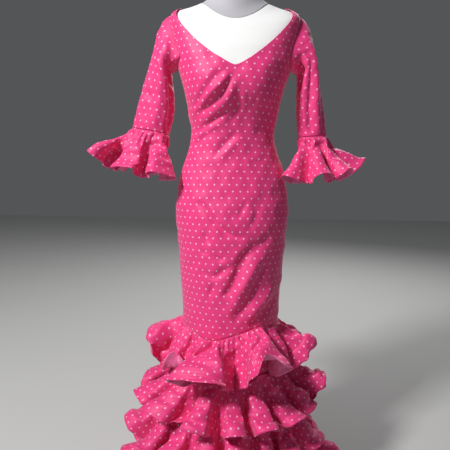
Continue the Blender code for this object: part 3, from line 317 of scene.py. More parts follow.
# Folds across a tier: (degrees along the seam, share of the way down), width in degrees.
TIER_STRETCH = 60.0     # one length of a tier counts as this many degrees, to draw folds
TIER_FOLDS = {
    "tier_1": [
        Fold([(-16, 0.02), (-21, 0.25), (-29, 0.55)], 2.0, -0.0170),
        Fold([(-22, 0.02), (-28, 0.25), (-36, 0.55)], 2.4, 0.0080),
        Fold([(-16, 0.93), (-6, 0.85), (0, 0.84)], 4.5, -0.0175),
        Fold([(-86, 0.30), (-86, 0.60), (-85, 0.95)], 3.0, -0.0175),
        Fold([(-10, 0.05), (-13, 0.45), (-12, 0.90)], 2.6, 0.0068),
        Fold([(-26, 0.30), (-17, 0.62), (-9, 0.96)], 2.4, -0.0074),
        Fold([(9, 0.05), (14, 0.22), (16, 0.34)], 1.7, -0.0108),
        Fold([(37, 0.03), (28, 0.40), (20, 0.85)], 3.4, 0.0115),
        Fold([(31, 0.10), (22, 0.46), (13, 0.80)], 2.2, -0.0081),
        Fold([(46, 0.10), (44, 0.50), (48, 0.92)], 2.8, -0.0121),
        Fold([(56, 0.15), (58, 0.55), (54, 0.95)], 2.6, 0.0081),
        Fold([(-47, 0.06), (-52, 0.50), (-60, 0.90)], 2.6, -0.0115),
        Fold([(-42, 0.12), (-45, 0.55), (-50, 0.95)], 2.2, 0.0074),
        Fold([(-74, 0.05), (-80, 0.45), (-88, 0.80)], 2.6, -0.0108),
        Fold([(-92, 0.10), (-90, 0.50), (-84, 0.90)], 2.4, 0.0081),
        Fold([(72, 0.08), (78, 0.45), (86, 0.85)], 2.6, -0.0108),
        Fold([(92, 0.20), (86, 0.55), (80, 0.92)], 2.4, 0.0074),
    ],
    "tier_2": [
        Fold([(-50, 0.20), (-58, 0.55), (-70, 0.95)], 2.4, 0.0121),
        Fold([(-44, 0.20), (-52, 0.60), (-62, 0.98)], 2.0, -0.0108),
        Fold([(-28, 0.25), (-24, 0.60), (-16, 0.96)], 2.0, -0.0095),
        Fold([(-14, 0.30), (-18, 0.65), (-24, 0.96)], 1.8, 0.0074),
        Fold([(-3, 0.25), (2, 0.60), (7, 0.95)], 1.9, -0.0095),
        Fold([(14, 0.30), (20, 0.65), (26, 0.96)], 2.0, -0.0088),
        Fold([(38, 0.20), (44, 0.60), (50, 0.95)], 2.2, -0.0108),
        Fold([(60, 0.25), (64, 0.60), (70, 0.95)], 2.0, 0.0081),
        Fold([(80, 0.20), (86, 0.55), (92, 0.90)], 2.2, -0.0095),
    ],
    "tier_3": [
        Fold([(-66, 0.25), (-74, 0.60), (-84, 0.95)], 2.2, 0.0101),
        Fold([(-60, 0.25), (-66, 0.60), (-76, 0.98)], 1.9, -0.0101),
        Fold([(-34, 0.25), (-40, 0.60), (-44, 0.96)], 2.0, -0.0095),
        Fold([(-10, 0.30), (-16, 0.65), (-20, 0.96)], 2.0, -0.0088),
        Fold([(2, 0.30), (7, 0.65), (10, 0.96)], 1.9, 0.0074),
        Fold([(22, 0.25), (27, 0.60), (34, 0.95)], 2.0, -0.0095),
        Fold([(48, 0.25), (44, 0.60), (40, 0.95)], 2.1, -0.0095),
        Fold([(70, 0.30), (74, 0.60), (80, 0.95)], 2.0, 0.0074),
    ],
    "tier_4": [
        Fold([(-80, 0.30), (-74, 0.60), (-66, 0.96)], 2.0, -0.0088),
        Fold([(-46, 0.25), (-52, 0.60), (-60, 0.96)], 2.0, -0.0095),
        Fold([(-24, 0.30), (-30, 0.60), (-34, 0.96)], 1.9, 0.0074),
        Fold([(-12, 0.30), (-8, 0.65), (-2, 0.96)], 1.9, -0.0088),
        Fold([(14, 0.30), (10, 0.65), (4, 0.96)], 1.9, -0.0081),
        Fold([(34, 0.25), (30, 0.60), (24, 0.95)], 2.0, -0.0095),
        Fold([(56, 0.30), (52, 0.60), (46, 0.95)], 2.0, 0.0074),
        Fold([(72, 0.25), (68, 0.60), (62, 0.95)], 2.0, -0.0095),
    ],
}


# ---------------------------------------------------------------- the body's surface
SECTION_ROWS = np.array(SECTIONS)
LEVELS = SECTION_ROWS[:, 0]
SECTION_SLOPES = np.gradient(SECTION_ROWS, axis=0)
SECTION_SLOPES /= SECTION_SLOPES[:, :1]


def sections(level):
    """The body's sections at an array of levels, on smooth curves through the table."""
    level = np.clip(np.asarray(level, float), LEVELS[0], LEVELS[-1])
    i = np.clip(np.searchsorted(LEVELS, level, side="right") - 1, 0, len(LEVELS) - 2)
    step = (LEVELS[i + 1] - LEVELS[i])[..., None]
    t = (level[..., None] - LEVELS[i][..., None]) / step
    start, end = SECTION_ROWS[i], SECTION_ROWS[i + 1]
    leave, arrive = SECTION_SLOPES[i] * step, SECTION_SLOPES[i + 1] * step
    rows = ((2 * t ** 3 - 3 * t ** 2 + 1) * start + (t ** 3 - 2 * t ** 2 + t) * leave
            + (3 * t ** 2 - 2 * t ** 3) * end + (t ** 3 - t ** 2) * arrive)
    return Section(level, *np.moveaxis(rows, -1, 0)[1:])


def raised(value, power):
    return np.sign(value) * np.abs(value) ** power


def body_points(angle, level):
    """Points of the form's surface, at degrees from the front towards +X."""
    angle, level = np.broadcast_arrays(np.asarray(angle, float), np.asarray(level, float))
    ring = sections(level)
    across, ahead = np.sin(np.radians(angle)), np.cos(np.radians(angle))
    depth = np.where(ahead >= 0, ring.front, ring.back)
    end_z = np.where(ahead >= 0, ring.front_z, ring.back_z)
    x = ring.half_width * raised(across, 2 / ring.square)
    y = -depth * raised(ahead, 2 / ring.square)
    z = level + (end_z - level) * ahead ** 2
    near = ((np.abs(x) - CUP_X) / CUP_WIDTH) ** 2 + ((z - CUP_Z) / CUP_HEIGHT) ** 2
    y = y - CUP_DEPTH * np.exp(-near) * np.maximum(ahead, 0.0) ** 0.5
    return np.stack([x, y, z], axis=-1)


def unit(vectors):
    return vectors / np.linalg.norm(vectors, axis=-1, keepdims=True)


def body_normals(angle, level):
    step = 0.002
    level = np.clip(level, LEVELS[0] + step, LEVELS[-1] - step)
    around = body_points(np.add(angle, 0.5), level) - body_points(np.subtract(angle, 0.5), level)
    upward = body_points(angle, level + step) - body_points(angle, level - step)
    return unit(np.cross(around, upward))


def near_shoulder(level):
    """0 below the shoulders, 1 on top of them."""
    return np.clip((level - SHOULDER_START) / SHOULDER_SPAN, 0.0, 1.0)


def sheath_points(angle, level, lift=0.0):
    """The middle of the sheath's cloth, raised by its folds."""
    off = SHEATH_OFF + (SHOULDER_OFF - SHEATH_OFF) * near_shoulder(level)
    raised_by = np.broadcast_to(off + lift, np.shape(angle + level * 0.0))
    return body_points(angle, level) + body_normals(angle, level) * raised_by[..., None]


def seam_level(angle):
    """The level of the seam between the sheath and the flounces."""
    turned = (np.asarray(angle, float) + 180.0) % 360.0 - 180.0
    return SKIRT_SEAM + sum(rise.height * np.exp(-((turned - rise.at) / rise.spread) ** 2)
                            for rise in SEAM_RISES)


# ---------------------------------------------------------------- folds
def smooth_line(line, steps=14):
    """A smooth curve through a fold's points."""
    points = np.array(line, float)
    padded = np.vstack([2 * points[0] - points[1], points, 2 * points[-1] - points[-2]])
    curve = []
    for a, b, c, d in zip(padded, padded[1:], padded[2:], padded[3:]):
        for t in np.arange(steps) / steps:
            curve.append(0.5 * (2 * b + (c - a) * t + (2 * a - 5 * b + 4 * c - d) * t ** 2
                                + (3 * b - a - 3 * c + d) * t ** 3))
    return np.vstack(curve + [points[-1]])


def fold_lift(x, z, folds, slacks=()):
    """How far the folds and slack patches raise the cloth at points (x, z)."""
    total = np.zeros(np.shape(x))
    for slack in slacks:
        total += slack.height * np.exp(-((x - slack.x) / slack.reach_x) ** 2
                                       - ((z - slack.z) / slack.reach_z) ** 2)
    for fold in folds:
        curve = smooth_line(fold.line)
        low, high = curve.min(0) - 3 * fold.width, curve.max(0) + 3 * fold.width
        near = (x > low[0]) & (x < high[0]) & (z > low[1]) & (z < high[1])
        if not near.any():
            continue
        place = np.stack([x[near], z[near]], axis=-1)
        best = np.full(len(place), np.inf)
        along = np.zeros(len(place))
        spans = len(curve) - 1
        for k, (start, end) in enumerate(zip(curve, curve[1:])):
            way = end - start
            t = np.clip(((place - start) @ way) / (way @ way), 0.0, 1.0)
            gap = np.linalg.norm(place - start - t[:, None] * way, axis=1)
            closer = gap < best
            best = np.where(closer, gap, best)
            along = np.where(closer, (k + t) / spans, along)
        taper = np.clip(np.sin(np.pi * along), 0.0, 1.0) ** 0.7
        total[near] += fold.depth * taper * np.exp(-(best / fold.width) ** 2)
    return total


def stretched(folds, stretch):
    """Folds drawn by shares of a piece's length, with that length counted as degrees."""
    return [Fold([(a, v * stretch) for a, v in f.line], f.width, f.depth) for f in folds]


def ripple(x, z, size, height, seed):
    """Slight unevenness of handled cloth: waves of about one size in several directions."""
    total = np.zeros(np.shape(x))
    for k in range(7):
        turn, phase = seed + 2.4 * k, 1.7 * seed * (k + 1)
        wave = size * (0.75 + 0.12 * k)
        total += np.sin((x * math.cos(turn) + z * math.sin(turn)) * 2 * math.pi / wave + phase)
    return total * height / 3.0


def seam_dip(distance):
    """The cloth turns in to a seam over a few millimetres."""
    return -SEAM_DIP * np.exp(-(distance / SEAM_REACH) ** 2)


# ---------------------------------------------------------------- meshes
Patch = namedtuple("Patch", "index cut hem")


def corners(grid):
    """The four corners of each quad of a grid, rows going down and columns to the right."""
    return np.stack([grid[:-1, :-1], grid[1:, :-1], grid[1:, 1:], grid[:-1, 1:]], axis=2)


def linked(name, data):
    """A new object on the scene's own collection."""
    obj = bpy.data.objects.new(name, data)
    bpy.context.scene.collection.objects.link(obj)
    return obj


def stands_for(obj, node, body="root"):
    """The object takes a CAD node's place, moves with its body and has its material slot."""
    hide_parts(node)
    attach(obj, body)


def grid_mesh(name, points, patches):
    """A mesh of quads over patches of point numbers, with its two UV maps."""
    quads = np.vstack([corners(p.index).reshape(-1, 4) for p in patches])
    mesh = bpy.data.meshes.new(name)
    mesh.from_pydata(points.tolist(), [], quads.tolist())
    for label in ("cut", "hem"):
        values = np.vstack([corners(getattr(p, label)).reshape(-1, 2) for p in patches])
        mesh.uv_layers.new(name=label).data.foreach_set("uv", values.astype(np.float32).ravel())
    mesh.shade_smooth()
    return linked(name, mesh)


def cloth_piece(name, points, patches, flat=None):
    """A sewn piece of cloth that stands for the CAD node of the same name. Its flat size is
    that of its cut, unless `flat` gives the strip that it is joined from."""
    settings = bpy.context.scene.flamenco_dress
    obj = grid_mesh(name + "_cloth", points, patches)
    obj.data.materials.append(cloth_material(settings))
    obj.data.materials.append(reverse_material(settings))
    solid = obj.modifiers.new("thickness", "SOLIDIFY")
    solid.thickness = settings.cloth_thickness
    solid.offset = 0.0
    solid.material_offset = 1
    if flat is None:
        cut = np.vstack([corners(p.cut).reshape(-1, 4, 2) for p in patches])
        flat = np.ptp(cut.reshape(-1, 2), axis=0)
    stands_for(obj, name)


# ---------------------------------------------------------------- the cut of the sheath
CUT_TURN, CUT_RISE = 1.5, 0.005
CUT_ANGLES = np.arange(0.0, 181.0, CUT_TURN)
CUT_LEVELS = np.arange(0.010, 1.500, CUT_RISE)


def cut_tables(facing):
    """Arc lengths over half the body, round each ring from the middle and up each column."""
    points = sheath_points(facing + CUT_ANGLES[None, :], CUT_LEVELS[:, None])
    across = np.linalg.norm(np.diff(points, axis=1), axis=2)
    upward = np.linalg.norm(np.diff(points, axis=0), axis=2)
    zeros_across, zeros_up = np.zeros((len(CUT_LEVELS), 1)), np.zeros((1, len(CUT_ANGLES)))
    return (np.hstack([zeros_across, np.cumsum(across, axis=1)]),
            np.vstack([zeros_up, np.cumsum(upward, axis=0)]))


def read_table(table, angle, level):
    i = np.clip((level - CUT_LEVELS[0]) / CUT_RISE, 0, len(CUT_LEVELS) - 1.001)
    j = np.clip(angle / CUT_TURN, 0, len(CUT_ANGLES) - 1.001)
    i0, j0 = i.astype(int), j.astype(int)
    s, t = i - i0, j - j0
    return ((table[i0, j0] * (1 - t) + table[i0, j0 + 1] * t) * (1 - s)
            + (table[i0 + 1, j0] * (1 - t) + table[i0 + 1, j0 + 1] * t) * s)


def sheath_cut(angle, level, facing, tables):
    """Where a point of the body lies on the flat cloth: across from the middle, and up."""
    away = np.abs(np.asarray(angle) - facing)
    side = np.sign(np.asarray(angle) - facing)
    return np.stack([side * read_table(tables[0], away, level),
                     read_table(tables[1], away, level)], axis=-1)


# ---------------------------------------------------------------- the sheath's panels
def neck_level(angle, neckline):
    share = np.sin(np.radians(np.minimum(angle, 90.0)))
    climbed = share ** (neckline.curve - neckline.fuller * share)
    return neckline.lowest + (neckline.edge - neckline.lowest) * climbed


def armhole_floor(column):
    share = np.minimum(1.0, (90.0 - column) / (90.0 - ARMHOLE_COLUMN))
    return UNDERARM + ARMHOLE_RISE * share ** 2


def lower_top(column):
    """The row that the lower and upper rows share. It dips under the neckline's point."""
    share = np.minimum(column, ARMHOLE_COLUMN) / ARMHOLE_COLUMN
    dipped = ROW_CENTRE + (UNDERARM + ARMHOLE_RISE - ROW_CENTRE) * share ** 2
    return np.where(column >= ARMHOLE_COLUMN, armhole_floor(column), dipped)


def upper_place(column, share, neckline):
    """(angle, level) between the shared row and the neckline or shoulder seam."""
    past = np.clip((column - NECK_COLUMN) / (ARMHOLE_COLUMN - NECK_COLUMN), 0.0, 1.0)
    end_angle = np.minimum(90.0, 90.0 * column / NECK_COLUMN)
    end_level = np.where(column <= NECK_COLUMN, neck_level(end_angle, neckline),
                         neckline.edge + (ARMHOLE_TOP - neckline.edge) * past)
    start = lower_top(column)
    strap = np.clip((column - 0.5 * NECK_COLUMN) / (0.5 * NECK_COLUMN), 0.0, 1.0)
    turned = share ** (1.0 + (LATE - 1.0) * strap)
    climbed = 1.0 - (1.0 - share) ** (1.0 + (CLIMB - 1.0) * strap)
    return column + (end_angle - column) * turned, start + (end_level - start) * climbed


def half_columns():
    """Columns of half a panel, in degrees from its middle; close where the body curves."""
    return np.concatenate([np.linspace(0.0, NECK_COLUMN, 41)[:-1],
                           np.linspace(NECK_COLUMN, ARMHOLE_COLUMN, 15)[:-1],
                           np.linspace(ARMHOLE_COLUMN, 90.0, 22)])


def seam_angle(level, gap):
    """Degrees that a gap takes up beside the side seams."""
    ring = sections(level)
    return gap / (math.radians(1.0) * 0.5 * (ring.half_width + ring.front))


def centre_angle(level):
    """Degrees from the centre back to a panel's edge: beside the zip, then a plain seam."""
    open_share = np.clip((level - SEAM_START) / ZIP_FADE, 0.0, 1.0)
    gap = SEAM / 2 + (ZIP_HALF_GAP - SEAM / 2) * open_share
    ring = sections(level)
    return np.degrees(np.arcsin((gap / ring.half_width) ** (ring.square / 2)))


def panel(name, facing, columns, necklines, folds, slacks, at_zip, seed):
    """One panel of the sheath. `columns` are signed degrees from the middle of the front
    (facing 0) or back (facing 180), running to the right as seen from outside."""
    size = np.abs(columns)
    share = np.linspace(0.0, 1.0, LOWER_ROWS + 1)[:, None]
    top, bottom = lower_top(size)[None, :], seam_level(facing + columns)[None, :] - SEAM_LAP
    lower = (np.broadcast_to(size, (LOWER_ROWS + 1, len(size))), top + (bottom - top) * share)
    inside = size <= ARMHOLE_COLUMN + 1e-6
    rise = np.linspace(1.0, 0.0, UPPER_ROWS + 1)[:, None]
    halves = [upper_place(size[inside][None, :], rise, n) for n in necklines]
    on_plus = (columns[inside] > 0)[None, :]
    upper = [np.where(on_plus, plus, minus) for minus, plus in zip(*halves)]

    index_upper = np.arange(UPPER_ROWS * inside.sum()).reshape(UPPER_ROWS, -1)
    first = index_upper.size
    index_lower = first + np.arange((LOWER_ROWS + 1) * len(size)).reshape(LOWER_ROWS + 1, -1)
    index_upper = np.vstack([index_upper, index_lower[0, inside]])

    points, cuts, hems = [], [], []
    tables = cut_tables(facing)
    for (angle, level), sign in ((upper, columns[inside]), (lower, columns)):
        signed = np.sign(sign)[None, :] * np.minimum(angle, 90.0 - seam_angle(level, SEAM / 2))
        if at_zip:
            signed = np.where(np.abs(sign)[None, :] < 1e-6, at_zip * centre_angle(level), signed)
        flat = body_points(facing + signed, level)
        from_side = (90.0 - np.abs(signed)) * 0.0026
        from_skirt = level - (seam_level(facing + signed) - SEAM_LAP)
        lift = fold_lift(flat[..., 0], flat[..., 2], folds, slacks)
        lift += ripple(flat[..., 0], flat[..., 2], *SHEATH_RIPPLE, seed)
        calm = 1.0 - 0.75 * near_shoulder(level + 0.02)
        lift = lift * np.clip(from_side / 0.006, 0.25, 1.0) * calm
        lift = np.clip(from_skirt / 0.012, 0.0, 1.0) * lift
        lift += seam_dip(from_side) + seam_dip(from_skirt)
        if at_zip:
            lift = lift * np.clip(np.abs(flat[..., 0]) / 0.030, 0.15, 1.0)
            across = (np.abs(flat[..., 0]) - DART_X) / DART_WIDTH
            dart = (np.clip((DART_TOP - level) / DART_FADE, 0, 1)
                    * np.clip((level - DART_BOTTOM) / DART_FADE, 0, 1))
            lift -= DART_DEPTH * np.exp(-across ** 2) * dart
        points.append(sheath_points(facing + signed, level, np.maximum(lift, CLOSEST)))
        cuts.append(sheath_cut(facing + signed, level, facing, tables))
        hems.append(np.full(level.shape + (2,), FAR))

    along = np.linalg.norm(np.diff(points[0], axis=1), axis=2)
    run = np.cumsum(np.hstack([np.zeros((UPPER_ROWS + 1, 1)), along]), axis=1)
    down = np.linalg.norm(np.diff(points[0], axis=0), axis=2)
    depth = np.cumsum(np.vstack([np.zeros((1, down.shape[1])), down]), axis=0)
    at_neck = size[inside] <= NECK_COLUMN + 1e-6
    hems[0][..., 0] = run
    hems[0][..., 1] = np.where(at_neck[None, :], depth, FAR)
    stacked = np.vstack([points[0][:-1].reshape(-1, 3), points[1].reshape(-1, 3)])
    patches = [Patch(index_upper, cuts[0], hems[0]), Patch(index_lower, cuts[1], hems[1])]
    cloth_piece(name, stacked, patches)


def make_sheath():
    half = half_columns()
    whole = np.concatenate([-half[:0:-1], half])
    front = [NECKLINES["front", "right"], NECKLINES["front", "left"]]
    back = [NECKLINES["back", "left"], NECKLINES["back", "right"]]
    panel("front", 0.0, whole, front, FRONT_FOLDS, FRONT_SLACK, 0.0, 0.3)
    panel("back_right", 180.0, half, back, BACK_FOLDS, BACK_SLACK, 1.0, 1.1)
    panel("back_left", 180.0, -half[::-1], back, BACK_FOLDS, BACK_SLACK, -1.0, 2.2)


def make_under_skirt():
    """The flared skirt that carries the tiers. Its top lies inside the sheath's edge."""
    tables = {0.0: cut_tables(0.0), 180.0: cut_tables(180.0)}
    for name, facing in (("under_skirt_front", 0.0), ("under_skirt_back", 180.0)):
        columns = np.linspace(-89.9, 89.9, 91)
        share = np.linspace(0.0, 1.0, 41)[:, None]
        top = seam_level(facing + columns)[None, :] - SEAM
        level = top + (HEM - top) * share
        angle = facing + np.broadcast_to(columns, level.shape)
        points = sheath_points(angle, level, UNDER_TUCK)
        cut = sheath_cut(angle, level, facing, tables[facing])
        hem = np.stack([cut[..., 0], level - HEM], axis=-1)
        index = np.arange(level.size).reshape(level.shape)
        cloth_piece(name, points.reshape(-1, 3), [Patch(index, cut, hem)])


# ---------------------------------------------------------------- sleeves
def armhole_loop(side, count):
    """Points round an armhole from the shoulder point down the front and up the back."""
    path = []
    for forward, neckline in ((True, NECKLINES["front", "left"]),
                              (False, NECKLINES["back", "left"])):
        edge = upper_place(np.full(96, ARMHOLE_COLUMN), np.linspace(1.0, 0.0, 97)[:-1], neckline)
        columns = np.linspace(ARMHOLE_COLUMN, 90.0, 48)
        angle = np.concatenate([edge[0], columns])
        level = np.concatenate([edge[1], armhole_floor(columns)])
        arc = sheath_points(side * angle if forward else 180.0 - side * angle, level)
        path.append(arc if forward else arc[::-1][1:-1])
    path = np.vstack(path + [path[0][:1]])
    lengths = np.concatenate([[0.0], np.cumsum(np.linalg.norm(np.diff(path, axis=0), axis=1))])
    want = lengths[-1] * np.arange(count) / count
    return np.stack([np.interp(want, lengths, path[:, k]) for k in range(3)], axis=-1)


def sleeve_ring(ring, side, turns):
    """Points of a sleeve's section at angles round from its outermost point by the front."""
    outer = np.array([side * ring.outer_x, 0.0, ring.outer_z])
    inner = np.array([side * ring.inner_x, 0.0, ring.inner_z])
    centre, reach = (outer + inner) / 2, (outer - inner) / 2
    ahead = np.sin(turns)
    points = centre + reach * np.cos(turns)[:, None]
    points[:, 0] -= side * ring.lean * np.maximum(ahead, 0.0) ** 2
    points[:, 1] -= ring.depth * ahead
    return points


def between(rings, share):
    """A sleeve section between those of the table, on a smooth curve."""
    rows = np.array(rings)
    place = share * (len(rows) - 1)
    i = min(int(place), len(rows) - 2)
    t = place - i
    before = rows[i - 1] if i else 2 * rows[0] - rows[1]
    after = rows[i + 2] if i + 2 < len(rows) else 2 * rows[-1] - rows[-2]
    a, b = rows[i], rows[i + 1]
    return SleeveRing(*(0.5 * (2 * a + (b - before) * t
                               + (2 * before - 5 * a + 4 * b - after) * t ** 2
                               + (3 * a - before - 3 * b + after) * t ** 3)))


def grid_normals(points):
    """Normals over a closed grid whose rows go down and columns to the right."""
    around = np.roll(points, -1, axis=1) - np.roll(points, 1, axis=1)
    down = np.gradient(points, axis=0)
    return unit(np.cross(down, around))


def make_sleeve(name):
    side = SIDE_OF[name]
    rings = SLEEVES[name]
    turns = 2 * np.pi * np.arange(SLEEVE_COLUMNS) / SLEEVE_COLUMNS
    leave = unit(np.array([side * SLEEVE_LEAVES[0], 0.0, SLEEVE_LEAVES[1]]))
    loop = armhole_loop(side, SLEEVE_COLUMNS) + leave * ARMHOLE_START
    upper_arm = sleeve_ring(rings[0], side, turns)
    way = unit(sleeve_ring(between(rings, 0.1), side, turns) - upper_arm)
    reach = np.linalg.norm(upper_arm - loop, axis=1)[:, None] * CAP_PULL
    rows = []
    for t in np.arange(CAP_ROWS) / CAP_ROWS:
        rows.append(loop * (1 - t) ** 3 + (loop + leave * reach) * 3 * t * (1 - t) ** 2
                    + (upper_arm - way * reach) * 3 * t ** 2 * (1 - t) + upper_arm * t ** 3)
    for row in range(ARM_ROWS + 1):
        rows.append(sleeve_ring(between(rings, row / ARM_ROWS), side, turns))
    points = np.array(rows)
    if side > 0:
        points = points[:, ::-1]
        turns = turns[::-1]

    down = np.linalg.norm(np.diff(points, axis=0), axis=2)
    depth = np.cumsum(np.vstack([np.zeros((1, down.shape[1])), down]), axis=0)
    share = depth / depth[-1:]
    degrees = np.broadcast_to(np.degrees(turns), share.shape)
    lift = fold_lift(degrees, share * SLEEVE_STRETCH, stretched(SLEEVE_FOLDS[name],
                                                                SLEEVE_STRETCH))
    around = np.linalg.norm(np.roll(points, -1, axis=1) - points, axis=2)
    run = np.cumsum(np.hstack([np.zeros((len(points), 1)), around]), axis=1)
    lift += ripple(run[:, :-1], depth, *SLEEVE_RIPPLE, 3.3 + side)
    ends = np.clip(depth / 0.03, 0.0, 1.0) * np.clip((depth[-1:] - depth) / 0.02, 0.0, 1.0)
    lift = lift * ends + 0.7 * seam_dip(depth) + seam_dip(depth[-1:] - depth)
    points = points + grid_normals(points) * lift[..., None]

    index = np.arange(points.shape[0] * SLEEVE_COLUMNS).reshape(points.shape[:2])
    index = np.hstack([index, index[:, :1]])
    middle = run[:, -1:] / 2
    level = np.mean(depth, axis=1, keepdims=True)
    cut = np.stack([run - middle, np.broadcast_to(-level, run.shape)], axis=-1)
    hem = np.full(cut.shape, FAR)
    cloth_piece(f"sleeve_{name}", points.reshape(-1, 3), [Patch(index, cut, hem)])


# ---------------------------------------------------------------- settling the cloth
# How a piece settles: how much the cloth gives along itself, its stiffness to bending, how
# strongly it keeps its place, how heavy it hangs, and for how many frames.
Settle = namedtuple("Settle", "give bend keep weight frames")
TIER_SETTLE = Settle(0.11, 250.0, 0.13, 0.05, 12)
CUFF_SETTLE = Settle(0.07, 250.0, 0.20, 0.04, 10)


def settled(points, how):
    """A tube of cloth after its slack has buckled into creases of its own. Its rows go down
    and its columns round, and the first rows are sewn fast."""
    rows, columns = points.shape[:2]
    index = np.arange(rows * columns).reshape(rows, columns)
    mesh = bpy.data.meshes.new("settling")
    mesh.from_pydata(points.reshape(-1, 3).tolist(), [],
                     corners(np.hstack([index, index[:, :1]])).reshape(-1, 4).tolist())
    obj = linked("settling", mesh)
    scene = bpy.context.scene
    hold = obj.vertex_groups.new(name="hold")
    for row in range(rows):
        hold.add(index[row].tolist(), 1.0 if row < 2 else how.keep, "REPLACE")
    cloth = obj.modifiers.new("cloth", "CLOTH")
    for field, value in (("quality", 6), ("mass", 0.12), ("tension_stiffness", 15.0),
                         ("compression_stiffness", 15.0), ("shear_stiffness", 5.0),
                         ("bending_stiffness", how.bend), ("vertex_group_mass", "hold"),
                         ("pin_stiffness", 1.0), ("shrink_min", -how.give)):
        setattr(cloth.settings, field, value)
    cloth.settings.effector_weights.gravity = how.weight
    cloth.collision_settings.use_collision = False
    cloth.point_cache.frame_start = 1
    cloth.point_cache.frame_end = how.frames + 1
    for number in range(1, how.frames + 1):
        scene.frame_set(number)
    moved = obj.evaluated_get(bpy.context.evaluated_depsgraph_get()).to_mesh()
    place = np.empty(rows * columns * 3, np.float32)
    moved.vertices.foreach_get("co", place)
    bpy.data.objects.remove(obj)
    bpy.data.meshes.remove(mesh)
    scene.frame_set(1)
    return place.reshape(points.shape).astype(float)


# ---------------------------------------------------------------- flounces
Columns = namedtuple("Columns", "degrees phase before after lobe")


def lobe_columns(lobes, per_lobe):
    """For each column: its place on the seam, the phase across its lobe from -1 to 1, the
    degrees from its crest to the valleys before and after, and the lobe's own values."""
    rows, own = [], []
    for i, lobe in enumerate(lobes):
        before = lobe.at - lobes[i - 1].at + (360.0 if i == 0 else 0.0)
        after = lobes[(i + 1) % len(lobes)].at - lobe.at + (360.0 if i == len(lobes) - 1 else 0.0)
        for k in range(per_lobe):
            phase = -1.0 + 2.0 * k / per_lobe
            half = (before if phase < 0 else after) / 2
            rows.append((lobe.at + half * phase, phase, before / 2, after / 2))
            own.append(lobe)
    return Columns(*np.array(rows).T, Lobe(*np.array(own).T))


def meander(columns, loop, per_lobe):
    """The place across each lobe, from -1 to 1, and the height, from 0 to 1, of a wave whose
    sides turn by up to `loop` radians: round crests, and sides that lean in past 90 degrees."""
    between_columns = columns.phase + 1.0 / per_lobe
    way = loop * np.sin(np.pi * between_columns)
    whole = (len(loop), -1, per_lobe)
    across = np.cumsum(np.cos(way).reshape(whole), axis=2)
    height = np.cumsum(-np.sin(way).reshape(whole), axis=2)
    across = np.concatenate([np.zeros_like(across[..., :1]), across], axis=2) / across[..., -1:]
    height = np.concatenate([np.zeros_like(height[..., :1]), height], axis=2)
    height = height / height.max(axis=2, keepdims=True)
    return (2 * across[..., :-1] - 1).reshape(loop.shape), height[..., :-1].reshape(loop.shape)


def lengthwise_creases(columns, t, seed):
    """Each lobe has two soft creases down it, unlike those of its neighbours."""
    number = columns.lobe.at * 0.37 + seed
    total = 0.0
    for k, side in enumerate((-1.0, 1.0)):
        at = side * (0.42 + 0.12 * np.sin(2.7 * number + 1.9 * k))
        depth = CREASE_DEPTH * (0.7 + 0.5 * np.sin(4.3 * number + 2.2 * k))
        start = 0.30 + 0.20 * np.sin(3.1 * number + k)
        grown = np.clip((t - start) / (1.0 - start), 0.0, 1.0) ** 0.7
        total = total - depth * grown * np.exp(-((columns.phase - at) / CREASE_WIDTH) ** 2)
    return total


